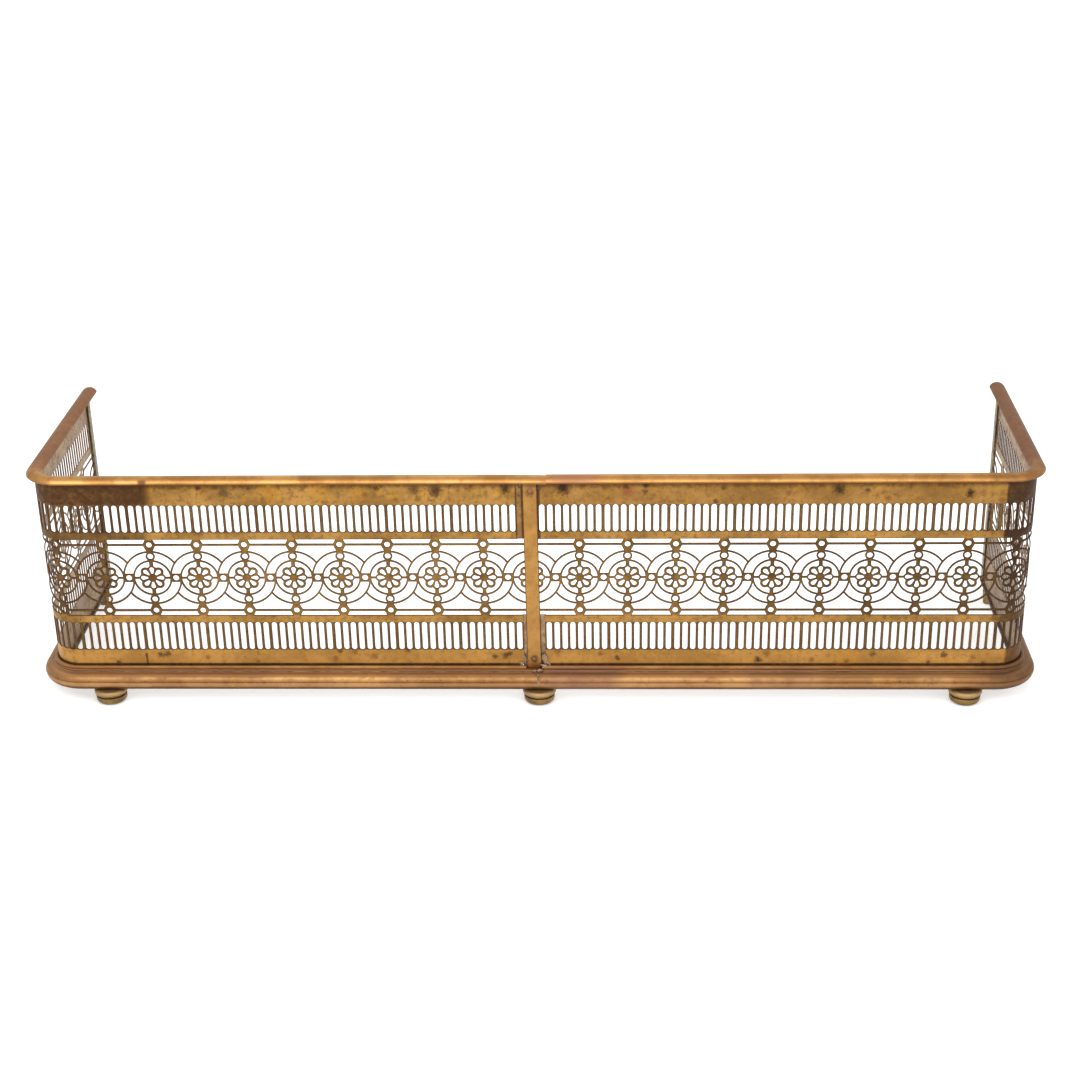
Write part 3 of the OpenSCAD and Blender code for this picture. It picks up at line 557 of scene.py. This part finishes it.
def gapOutline():
    ring, body, reach = fret["ring"] - fret["wire"] / 2, fret["rosette"], fret["petalReach"]
    up, level = fret["uprightBar"] / 2, fret["levelBar"] / 2
    side, lobe = fret["petalWidth"] / 2 + fret["sideRim"], fret["petalWidth"] / 2 + fret["lobeRim"]
    sideOnBody, sideOnSelf = bite(body, reach, side)
    lobeOnBody, lobeOnSelf = bite(body, reach, lobe)
    far = reach / math.sqrt(2)
    return (arc(0, 0, ring, sineAngle(level / ring), 90 - sineAngle(up / ring))
            + arc(0, reach, side, cosineAngle(up / side), 90 - sideOnSelf, 15)
            + arc(0, 0, body, 90 - sideOnBody, 45 + lobeOnBody)[1:-1]
            + arc(far, far, lobe, 45 + lobeOnSelf, 45 - lobeOnSelf, 15)
            + arc(0, 0, body, 45 - lobeOnBody, sideOnBody)[1:-1]
            + arc(reach, 0, side, sideOnSelf, sineAngle(level / side), 15))


def crescentParts():
    inner = fret["ring"] + fret["wire"] / 2
    outer = fret["pitch"] - fret["ring"] - fret["wire"] / 2
    neck, eyelet = fret["neck"] / 2, cosineAngle(fret["neck"] / 2 / fret["eyeletRadius"])
    return inner, outer, neck, eyelet


def longCrescentOutline():
    inner, outer, neck, eyelet = crescentParts()
    link = fret["linkHeight"] / 2
    linkOuter, linkInner = (180 - sineAngle(link / radius) for radius in (outer, inner))
    return (arc(0, 0, outer, linkOuter, cosineAngle(-neck / outer), 6)
            + arc(0, fret["eyelet"], fret["eyeletRadius"], 180 - eyelet, 180 + eyelet, 18)
            + arc(0, 0, inner, cosineAngle(-neck / inner), linkInner, 7))


def shortCrescentOutline():
    inner, outer, neck, eyelet = crescentParts()
    cross = fret["pitch"] - fret["ring"] + fret["wire"] / 2
    onOuter, farOuter = bite(outer, fret["pitch"], cross)
    onInner, farInner = bite(inner, fret["pitch"], cross)
    return (arc(0, 0, outer, cosineAngle(neck / outer), onOuter, 6)
            + arc(fret["pitch"], 0, cross, farOuter, farInner, 6)[1:-1]
            + arc(0, 0, inner, onInner, cosineAngle(neck / inner), 7)
            + arc(0, fret["eyelet"], fret["eyeletRadius"], -eyelet, eyelet, 18))


# Half the diamond's width where the long wire's edges meet it
diamondTip = fret["diamondWide"] * (1 - fret["longWireWidth"] / 2 / fret["diamondHigh"])


def spandrelOutline():
    pitch, neck = fret["pitch"], fret["neck"] / 2
    cross = pitch - fret["ring"] + fret["wire"] / 2
    top = fret["longWire"] - fret["longWireWidth"] / 2
    side = fret["longWire"] - fret["diamondHigh"] * (1 - neck / fret["diamondWide"])
    crown, foot = cosineAngle(neck / cross), cosineAngle(pitch / 2 / cross)
    return ([(neck, side), (diamondTip, top), (pitch - diamondTip, top), (pitch - neck, side)]
            + arc(pitch, 0, cross, 180 - crown, 180 - foot, 6) + arc(0, 0, cross, foot, crown, 6)[1:])


def stripOutline():
    low, high = fret["longWire"] + fret["longWireWidth"] / 2, fret["fieldHeight"] / 2
    end = fret["diamondWide"] * (1 - (high - fret["longWire"]) / fret["diamondHigh"])
    return [(diamondTip, low), (fret["pitch"] - diamondTip, low), (fret["pitch"] - end, high), (end, high)]


def slotOutline(high):
    radius = slots["width"] / 2
    return arc(0, radius, radius, 180, 360, 22.5) + arc(0, high - radius, radius, 0, 180, 22.5)


def turned(outline, angle=0, flipX=False, flipZ=False):
    c, s = math.cos(math.radians(angle)), math.sin(math.radians(angle))
    points = [(-x if flipX else x, -z if flipZ else z) for x, z in outline]
    return [(x * c - z * s, x * s + z * c) for x, z in points]


# All openings that belong to one rosette and the space up to the next one
def motifOutlines(hand):
    petal, gap = petalOutline(), gapOutline()
    around = [turned(petal, 45 * k) for k in range(8)]
    around += [turned(gap, 0, flipX, flipZ) for flipX in (False, True) for flipZ in (False, True)]
    around += [turned(outline, angle) for outline in (longCrescentOutline(), shortCrescentOutline())
               for angle in (0, 180)]
    around += [arc(0, z, fret["eye"], 0, 337.5, 22.5) for size in ("eyelet", "longWire")
               for z in (fret[size], -fret[size])]
    if hand < 0:
        around = [turned(outline, 0, True) for outline in around]
    beside = [arc(fret["pitch"] / 2, 0, fret["linkEye"], 0, 337.5, 22.5)]
    beside += [turned(outline, 0, False, flip) for outline in (spandrelOutline(), stripOutline())
               for flip in (False, True)]
    return [cleanLoop(outline) for outline in around + beside]


# Drops points that fall together and turns the loop anticlockwise
def cleanLoop(outline):
    kept = [p for i, p in enumerate(outline) if math.dist(p, outline[i - 1]) > 0.02]
    area = sum(kept[i - 1][0] * p[1] - p[0] * kept[i - 1][1] for i, p in enumerate(kept))
    return kept if area > 0 else kept[::-1]


def grownLoop(loop, distance):
    grown = []
    for i, (x, z) in enumerate(loop):
        (ax, az), (bx, bz) = loop[i - 1], loop[(i + 1) % len(loop)]
        before, after = Vector((z - az, ax - x)).normalized(), Vector((bz - z, x - bx)).normalized()
        out = before + after
        out = out / max(out.length_squared / 2, 0.5)
        grown.append((x + out.x * distance, z + out.y * distance))
    return grown


# Lays outlines out along the sheet with the row tree and reads the loops back
def layRow(outlines, settings):
    points = [(x * 1000, 0, z * 1000) for loop in outlines for x, z in loop]
    row = newPiece("row", points, [])
    runTree(row, rowTree, settings)
    laid = [(v.co.x, v.co.z) for v in row.data.vertices]
    bpy.data.objects.remove(row)
    loops, first = [], 0
    while first < len(laid):
        for loop in outlines:
            loops.append(laid[first:first + len(loop)])
            first += len(loop)
    return loops


def slotRow(bandEnd, foot, high):
    first = bandEnd + slots["firstBar"] + slots["width"] / 2
    last = piercedEnd - slots["width"] / 2
    count = 0
    while first + count * slots["pitch"] + count // slots["perStroke"] * slots["strokeGap"] < last:
        count += 1
    settings = {"Count": count, "First": first, "Pitch": slots["pitch"], "Height": foot,
                "Per Stroke": slots["perStroke"], "Stroke Gap": slots["strokeGap"]}
    return layRow([cleanLoop(slotOutline(high))], settings)


def sheetBorder(hand):
    upper, lower, r = sheetEnds[hand]["upper"], sheetEnds[hand]["lower"], bandCorner
    bottom, top, low, high = (heights[key] for key in ("barTop", "sheetTop", "fieldLow", "fieldHigh"))
    return ([(lower + r, bottom), (sheetEnd, bottom), (sheetEnd, top), (upper + r, top)]
            + arc(upper + r, heights["rail"] - r, r, 90, 180, 18)
            + [(upper, high), (buttGap, high), (buttGap, low), (lower, low)]
            + arc(lower + r, heights["moulding"] + r, r, 180, 270, 18))


def piercedGallery(name, hand):
    settings = {"Count": math.ceil(piercedEnd / fret["pitch"]) + 1, "First": 0, "Pitch": fret["pitch"],
                "Per Stroke": 100, "Stroke Gap": 0, "Height": heights["axis"]}
    openings = layRow(motifOutlines(hand), settings)
    openings += slotRow(sheetEnds[hand]["lower"], heights["lowerSlots"], slots["lowerHeight"])
    openings += slotRow(sheetEnds[hand]["upper"], heights["upperSlots"], slots["upperHeight"])
    points, edges = [], []

    def addLoop(loop):
        first = len(points)
        points.extend(Vector(p) for p in loop)
        return list(range(first, len(points)))

    faces = [addLoop(cleanLoop(sheetBorder(hand)))]
    for loop in openings:
        faces.append(addLoop(loop))
        ring = addLoop(grownLoop(loop, rimWidth))
        edges.extend(zip(ring, ring[1:] + ring[:1]))
    steps, clear = sheetLines["bendSteps"], sheetLines["clear"]
    lines = [piercedEnd] + [bendStart + (bendEnd - bendStart) * i / steps for i in range(steps + 1)]
    grid = [sheetLines["grid"] * i for i in range(1, sheetLines["gridLines"] + 1)]
    for s in lines + [s for s in grid if not bendStart - clear < s < bendEnd + clear]:
        points.extend((Vector((s, heights["barTop"])), Vector((s, heights["sheetTop"]))))
        edges.append((len(points) - 2, len(points) - 1))
    flat, _, triangles, _, _, origins = geometry.delaunay_2d_cdt(points, edges, faces, 0, 0.002)
    metal = []
    for triangle, owners in zip(triangles, origins):
        s = sum(flat[i].x for i in triangle) / 3
        if 0 in owners and (len(owners) == 1 or s > piercedEnd):
            metal.append(triangle)
    used = sorted({i for triangle in metal for i in triangle})
    renumber = {old: new for new, old in enumerate(used)}
    piece = newPiece(name, [(flat[i].x, 0, flat[i].y) for i in used],
                     [[renumber[i] for i in triangle] for triangle in metal])
    rim = piece.data.attributes.new("rim", "FLOAT", "POINT")
    rim.data.foreach_set("value", rimNearness(openings, [flat[i] for i in used]))
    runTree(piece, sheetTree, {**bendSettings, "Hand": hand, "Thickness": plan["sheet"] / 1000,
                               "Rim Depth": rimDepth / 1000, "Face": galleryBrass,
                               "Inside": galleryInside, "Cut": cutBrass})
    smoothBelow(piece, 18)
    return piece


# 1 on the edge of an opening, falling to 0 at the rim's width
def rimNearness(openings, places):
    samples = []
    for loop in openings:
        for i, (x, z) in enumerate(loop):
            ax, az = loop[i - 1]
            steps = max(1, round(math.dist((x, z), (ax, az)) / rimStep))
            for k in range(1, steps + 1):
                samples.append((ax + (x - ax) * k / steps, az + (z - az) * k / steps, 0))
    tree = kdtree.KDTree(len(samples))
    for i, place in enumerate(samples):
        tree.insert(place, i)
    tree.balance()
    return [max(0.0, 1 - tree.find((p.x, p.y, 0))[2] / rimWidth) if p.x < piercedEnd - 0.01 else 0.0
            for p in places]


sides = {-1: "left", 1: "right"}


def bothSides(make, name, slot, node):
    for hand, side in sides.items():
        settle(make(side + name, hand), slot, side + node)


bothSides(piercedGallery, "PiercedGallery", "gallery_brass", "_gallery")
print("galleries pierced and bent")

# How many steps a drawn section takes along the front, round the bend and along the return
stationSteps = {"front": 24, "bend": 30, "return": 8}


# Places along the U at which a drawn section is set
def stations(start, yEnd, extra=()):
    end = bendEnd + yEnd - plan["corner"]
    front, bend, back = stationSteps.values()
    ways = [start + (bendStart - start) * i / front for i in range(front)]
    ways += [bendStart + (bendEnd - bendStart) * i / bend for i in range(bend + 1)]
    ways += [bendEnd + (end - bendEnd) * i / back for i in range(1, back + 1)]
    return sorted(ways + list(extra))


# Sections are lists of (out, height) of one length; the first and last are closed off
def drawnPiece(name, sections, hand, material):
    points = [(s, -out, z) for s, section in sections for out, z in section]
    size = len(sections[0][1])
    faces = [(i * size + j, (i + 1) * size + j, (i + 1) * size + (j + 1) % size, i * size + (j + 1) % size)
             for i in range(len(sections) - 1) for j in range(size)]
    faces.append(list(range(size)))
    faces.append([(len(sections) - 1) * size + j for j in range(size)][::-1])
    piece = newPiece(name, points, faces, material)
    tidyMesh(piece)
    runTree(piece, bendTree, {**bendSettings, "Hand": hand, "Material": material})
    smoothBelow(piece, 32)
    return piece


rail = {"width": 17, "height": 6.2, "edge": 1.2, "groove": 1.6, "clearance": 0.1, "tail": 20, "seam": 17,
        "fillet": 0.35, "lip": 0.15, "seamStep": 1.0, "stepReach": 22, "stepPlaces": (8, 16, 30, 45)}


def railSection(dip, depth, reach):
    half, rise = rail["width"] / 2, rail["height"] - rail["edge"]
    crown = (half ** 2 + rise ** 2) / (2 * rise)
    slit = plan["sheet"] / 2 + rail["clearance"]
    first = cosineAngle(half / crown) + 1.5
    top = arc(0, rail["height"] - crown, crown, first, 180 - first, 7)
    fillet, lip = rail["fillet"], rail["edge"] - rail["lip"]
    outline = ([(half - fillet, 0), (half, fillet), (half, lip)] + top
               + [(-half, lip), (-half, fillet), (fillet - half, 0), (-slit, 0), (-slit, depth),
                  (slit, depth), (slit, 0)])
    narrow = math.sqrt(max(0.0, 1 - (reach / half) ** 2))
    section = []
    for out, z in outline:
        out *= narrow
        ceiling = rail["height"] - crown + math.sqrt(crown ** 2 - min(half, math.hypot(out, reach)) ** 2)
        section.append((out - plan["sheet"] / 2, heights["rail"] + min(z, ceiling) - dip))
    return section


def topRail(name, hand):
    half = rail["width"] / 2
    tailStart = plan["depth"] + rail["tail"] - half
    start = hand * rail["seam"]
    grooveEnd = bendEnd + plan["depth"] + rail["clearance"] - plan["corner"]
    sections = []
    places = [start + d for d in rail["stepPlaces"]]
    for s in stations(start, plan["depth"] + rail["clearance"], places):
        dip = rail["seamStep"] * math.exp(-(s - start) / rail["stepReach"]) if hand < 0 else 0.0
        sections.append((s, railSection(dip, rail["groove"], 0)))
    sections.append((grooveEnd, railSection(0, 0, 0)))
    tail = bendEnd + tailStart - plan["corner"]
    for turn in range(0, 91, 9):
        reach = half * math.sin(math.radians(turn))
        sections.append((tail + reach, railSection(0, 0, reach)))
    return drawnPiece(name, sections, hand, railBrass)


bothSides(topRail, "Rail", "rail_brass", "_top_rail")
print("rails drawn")

# The notch under the strap's foot has a height, and a reach on either side of the middle
moulding = {"wall": 1.5, "torus": 9, "torusOut": 7, "bead": 2.2, "cove": 2.35, "coveOut": 6, "seam": 5.5,
            "fineGroove": 0.5, "fineGrooveAngle": 17, "notchHeight": 37.5, "notch": {-1: 8, 1: 9}}


def mouldingSection(notched):
    m, floor = moulding, heights["foot"]
    torusZ, torusTop = floor + m["torus"], floor + m["torus"] * 2
    coveZ, beadZ = torusTop + m["cove"], heights["moulding"] - m["bead"]
    bead = arc(m["bead"], beadZ, m["bead"], 180, -90, 15)
    if notched:
        cut = sineAngle((beadZ - m["notchHeight"]) / m["bead"])
        rest = arc(m["bead"], beadZ, m["bead"], -cut, -90, 15)
        level = len(bead) - len(rest)
        bead = [(rest[0][0] * i / level, m["notchHeight"]) for i in range(level)] + rest
    cove = [(m["bead"], coveZ)] + arc(m["coveOut"], coveZ, m["cove"], 180, 270, 11)
    groove, width = m["fineGrooveAngle"], math.degrees(m["fineGroove"] / m["torus"])
    torus = arc(m["torusOut"], torusZ, m["torus"], 90, groove + width, 6)
    torus += arc(m["torusOut"], torusZ, m["torus"] - m["fineGroove"] * 0.9, groove + width * 0.5,
                 groove - width * 0.5, 3)
    torus += arc(m["torusOut"], torusZ, m["torus"], groove - width, -90, 7)
    inner = [(0, floor), (0, heights["bar"])]
    inner += arc(m["torusOut"], torusZ, m["torus"] - m["wall"], -90, 90, 15)
    hollow, ceiling = m["cove"] + m["wall"], torusTop + m["wall"]
    turn = 180 + sineAngle((coveZ - ceiling) / hollow)
    inner += [(m["coveOut"], torusTop - m["wall"])] + arc(m["coveOut"], coveZ, hollow, 270, turn, 15)[1:]
    inner += [(m["wall"], ceiling), (m["wall"], heights["barTop"]), (0, heights["barTop"])]
    return bead + cove + torus + inner


def baseMoulding(name, hand):
    notch = moulding["notch"][hand]
    ways = stations(hand * moulding["seam"], plan["depth"])
    sections = [(s, mouldingSection(s < notch)) for s in ways if s != notch]
    sections += [(notch, mouldingSection(True)), (notch, mouldingSection(False))]
    sections.sort(key=lambda item: item[0])
    return drawnPiece(name, sections, hand, mouldingBrass)


bothSides(baseMoulding, "Moulding", "moulding_brass", "_base_moulding")
print("mouldings drawn")


# A plate from its outline; u and v are the outline's axes and w the way its thickness goes
def plate(name, outline, origin, u, v, w, thickness, bevel, material):
    origin, u, v, w = Vector(origin), Vector(u), Vector(v), Vector(w)
    near = [origin + u * a + v * b for a, b in outline]
    points = [tuple(p) for p in near] + [tuple(p + w * thickness) for p in near]
    size = len(outline)
    faces = [list(range(size)), [size + i for i in range(size)][::-1]]
    faces += [(i, (i + 1) % size, size + (i + 1) % size, size + i) for i in range(size)]
    piece = newPiece(name, points, faces, material)
    tidyMesh(piece)
    soften = piece.modifiers.new("edges", "BEVEL")
    soften.width, soften.segments, soften.limit_method, soften.angle_limit = bevel / 1000, 2, "ANGLE", 0.7
    applyModifiers(piece)
    smoothBelow(piece, 35)
    return piece


strapLevels = range(60, 221, 20)  # heights at which its leaning sides have a point
stileSizes = {"thickness": 2, "bevel": 0.4}


def centreStrap():
    half, r, turnZ = strap["width"] / 2, strap["corner"], strap["foot"] + strap["corner"]
    outline = ([(half, heights["rail"]), (-half, heights["rail"])] + [(-half, z) for z in strapLevels[::-1]]
               + arc(r - half, turnZ, r, 180, 270, 15) + arc(half - r, turnZ, r, 270, 360, 15)
               + [(half, z) for z in strapLevels])
    outline = [(x + strapShift(z), z) for x, z in outline]
    return plate("centreStrap", outline, (0, -strap["thickness"], 0), (1, 0, 0), (0, 0, 1), (0, 1, 0),
                 strap["thickness"], strap["bevel"], strapBrass)


def endStile(name, hand):
    margin, low, high = plan["rearMargin"], heights["barTop"], heights["rail"]
    outline = [(0, low), (margin, low), (margin, high), (0, high)]
    origin = (hand * (halfWidth - plan["sheet"]), plan["depth"] - margin, 0)
    return plate(name, outline, origin, (0, 1, 0), (0, 0, 1), (-hand, 0, 0), stileSizes["thickness"],
                 stileSizes["bevel"], stileBrass)


settle(centreStrap(), "gallery_brass", "centre_strap")
bothSides(endStile, "Stile", "old_brass", "_end_stile")


# Turns a profile of (radius, height) about the Z axis at a place
def lathe(name, profile, place, material, segments):
    points = []
    for k in range(segments):
        c, s = math.cos(2 * math.pi * k / segments), math.sin(2 * math.pi * k / segments)
        points += [(place[0] + r * c, place[1] + r * s, place[2] + z) for r, z in profile]
    size = len(profile)
    faces = [(k * size + j, (k + 1) % segments * size + j, (k + 1) % segments * size + j + 1,
              k * size + j + 1) for k in range(segments) for j in range(size - 1)]
    piece = newPiece(name, points, faces, material)
    tidyMesh(piece)
    return piece


def rivetPattern(name, rivet):
    r, h = rivet["head"], rivet["rise"]
    dome = (r * r + h * h) / (2 * h)
    edge = sineAngle(r / dome)
    profile = arc(0, h - dome, dome, 90, 90 - edge, edge / 6)
    profile += [(rivet["shank"], 0), (rivet["shank"], -rivet["grip"]), (0, -rivet["grip"])]
    return lathe(name, profile, (0, 0, 0), oldBrass, 24)


def setRivets(name, rivet, places, slot, node):
    pattern = rivetPattern(name + "Pattern", rivet)
    piece = newPiece(name, [p for p, _ in places], [])
    facing = piece.data.attributes.new("facing", "FLOAT_VECTOR", "POINT")
    facing.data.foreach_set("vector", [c for _, way in places for c in way])
    runTree(piece, rivetTree, {"Rivet": pattern, "Tilt": rivet["tilt"], "Seed": 4, "Material": rivetBrass})
    bpy.data.objects.remove(pattern)
    smoothBelow(piece, 40)
    settle(piece, slot, node)


strapRivet = {"head": 2.7, "rise": 1.2, "shank": 1.6, "grip": 3.9, "tilt": 0.03}
stileRivet = {"head": 2.4, "rise": 1.0, "shank": 1.3, "grip": 3.2, "tilt": 0.04, "count": 4, "edge": 8}
setRivets("strapRivets", strapRivet, [(place, (0, -1, 0)) for place in rivetPlaces], "old_brass",
          "strap_rivets")
low, high = heights["moulding"] + stileRivet["edge"], heights["rail"] - stileRivet["edge"]
stilePlaces = [((hand * halfWidth, plan["depth"] - plan["rearMargin"] / 2,
                 low + (high - low) * k / (stileRivet["count"] - 1)), (hand, 0, 0))
               for hand in sides for k in range(stileRivet["count"])]
setRivets("stileRivets", stileRivet, stilePlaces, "old_brass", "stile_rivets")
print("strap, stiles and rivets set")


foot = {"height": 16, "radius": 18, "roll": 7, "groove": 2, "grooveHeight": 1, "lowerRadius": 16.5,
        "round": 4.5, "ease": 0.6, "out": 2.5, "x": 458.5, "rearRadius": 7, "rearPad": 5.5, "rearEase": 0.4,
        "rearInset": 25}


def frontFootProfile():
    half, lower, r, ease = foot["roll"] / 2, foot["lowerRadius"], foot["round"], foot["ease"]
    rollZ = foot["height"] - foot["roll"]
    lowerTop, neck = rollZ - foot["grooveHeight"], lower - foot["groove"]
    return ([(0, foot["height"])] + arc(foot["radius"] - half, rollZ + half, half, 90, -90, 15)
            + [(neck, rollZ), (neck, lowerTop), (lower - ease, lowerTop), (lower, lowerTop - ease)]
            + arc(lower - r, r, r, 0, -90, 10) + [(0, 0)])


def rearFootProfile():
    top, pad, high, ease = foot["rearRadius"], foot["rearPad"], foot["height"], foot["rearEase"]
    return [(0, high), (top - ease, high), (top, high - ease), (pad + 0.15, 0.6), (pad - 0.3, 0.1),
            (pad - 0.7, 0), (0, 0)]


def turnedFoot(name, profile, x, y, material, segments, node):
    made = lathe(name, profile, (x, y, 0), material, segments)
    smoothBelow(made, 35)
    settle(made, "old_brass", node)


for side, x in (("left", -foot["x"]), ("centre", moulding["seam"]), ("right", foot["x"])):
    turnedFoot(side + "Bun", frontFootProfile(), x, -foot["out"], footBrass, 72, f"front_{side}_foot")
for hand, side in sides.items():
    turnedFoot(side + "Peg", rearFootProfile(), hand * (halfWidth + foot["out"]),
               plan["depth"] - foot["rearInset"], oldBrass, 48, f"rear_{side}_foot")
print("feet turned")


# Old solder about the strap, as flattened lumps: place, half sizes
solderLumps = [((11.6, -0.9, 48), (2.8, 0.8, 6.5)), ((10.8, -2.4, 41), (3.8, 1.2, 1.8)),
               ((14.6, -0.5, 42.6), (3.0, 0.6, 2.6)), ((-13.2, -0.5, 42.8), (3.0, 0.7, 2.3)),
               ((-9.2, -1.0, 47), (1.4, 0.7, 6.0)), ((0.8, -5.3, 35.6), (2.2, 1.2, 2.2)),
               ((6.2, -5.0, 36.4), (3.4, 1.3, 1.9)), ((4.4, -10.6, 33.4), (2.2, 1.7, 1.5)),
               ((6.0, -13.6, 30.8), (1.9, 1.2, 2.2)), ((5.2, -15.1, 26.6), (1.8, 0.8, 2.3)),
               ((-10.6, -0.6, 250), (2.4, 0.7, 2.8)), ((9.8, -0.6, 248.5), (1.9, 0.7, 4.0))]


def solderTraces():
    random.seed(11)
    work = bmesh.new()
    for place, size in solderLumps:
        made = bmesh.ops.create_icosphere(work, subdivisions=3, radius=1.0)["verts"]
        offset = Vector((random.random() * 9, random.random() * 9, random.random() * 9))
        for vert in made:
            p = vert.co * 1.0
            lump = 1 + 0.3 * math.sin(3.1 * p.x + offset.x) * math.cos(2.7 * p.z + offset.y)
            lump += 0.16 * math.sin(6 * p.z + offset.z) * math.cos(7 * p.x + offset.y)
            vert.co = Vector((place[0] + p.x * size[0] * lump, place[1] + p.y * size[1] * lump,
                              place[2] + p.z * size[2] * lump)) / 1000
    piece = newPiece("solderTraces", [], [], dullSolder)
    work.to_mesh(piece.data)
    work.free()
    piece.data.shade_smooth()
    return piece


settle(solderTraces(), "tinned_brass")
ownMaterials = {"base_bar": darkIron, "foot_studs": darkIron, "left_base_end_cap": mouldingBrass,
                "right_base_end_cap": mouldingBrass, "upper_joint_plate": plateBrass,
                "lower_joint_plate": dullSolder}
for node, material in ownMaterials.items():
    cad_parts[node].data.materials[0] = material
print("solder laid and CAD materials set")


studio = {"floor": "#f4f2ef", "glow": 0.25, "world": 0.95, "reach": 30000, "aim": (0, 0.05, 0.13)}
# Soft lights: place, width and height in metres, and power in watts
softBoxes = {"keyLight": ((-0.7, -1.8, 2.6), (3.0, 1.4), 44),
             "fillLight": ((1.8, -1.6, 1.9), (1.6, 1.6), 16), "rearLight": ((0.2, 2.2, 2.2), (2.6, 0.9), 6)}
camera = {"lens": 64.39, "place": (0.0907, -1.8091, 1.0377), "yaw": 0.0449, "pitch": 0.4388,
          "roll": -0.0214}


def paperFloor():
    reach = studio["reach"]
    corners = [(-reach, -reach, -0.3), (reach, -reach, -0.3), (reach, reach, -0.3), (-reach, reach, -0.3)]
    sheet = newPiece("paperFloor", corners, [(0, 1, 2, 3)])
    material = bpy.data.materials.new("paper")
    material.use_nodes = True
    tree = material.node_tree
    shader = tree.nodes["Principled BSDF"]
    tooth = noise(tree, tree.nodes.new("ShaderNodeTexCoord").outputs["Object"], 3, 3, 0.5)
    plug(mixed(tree, tooth, tone(studio["floor"]), tone("#ffffff")), shader.inputs["Base Color"])
    finish = {"Roughness": 0.9, "Specular IOR Level": 0.1, "Emission Color": (1, 1, 1, 1),
              "Emission Strength": studio["glow"]}
    for label, value in finish.items():
        shader.inputs[label].default_value = value
    sheet.data.materials.append(material)


def softBox(name, place, size, power):
    light = bpy.data.lights.new(name, "AREA")
    light.shape, light.size, light.size_y, light.energy = "RECTANGLE", size[0], size[1], power
    holder = newObject(name, light)
    holder.location = place
    holder.rotation_euler = (Vector(studio["aim"]) - Vector(place)).to_track_quat("-Z", "Y").to_euler()


def setCamera():
    data = bpy.data.cameras.new("view")
    data.lens, data.sensor_width, data.clip_end = camera["lens"], 36, 100
    holder = newObject("view", data)
    turn = (Matrix.Rotation(camera["yaw"], 4, "Z") @ Matrix.Rotation(math.pi / 2 - camera["pitch"], 4, "X")
            @ Matrix.Rotation(camera["roll"], 4, "Z"))
    holder.matrix_world = Matrix.Translation(camera["place"]) @ turn
    bpy.context.scene.camera = holder


paperFloor()
for name, box in softBoxes.items():
    softBox(name, *box)
world = bpy.data.worlds.new("studio")
world.use_nodes = True
background = world.node_tree.nodes["Background"]
background.inputs["Color"].default_value = (1, 1, 1, 1)
background.inputs["Strength"].default_value = studio["world"]
bpy.context.scene.world = world
bpy.context.scene.view_settings.view_transform = "Standard"
setCamera()
print("studio ready")
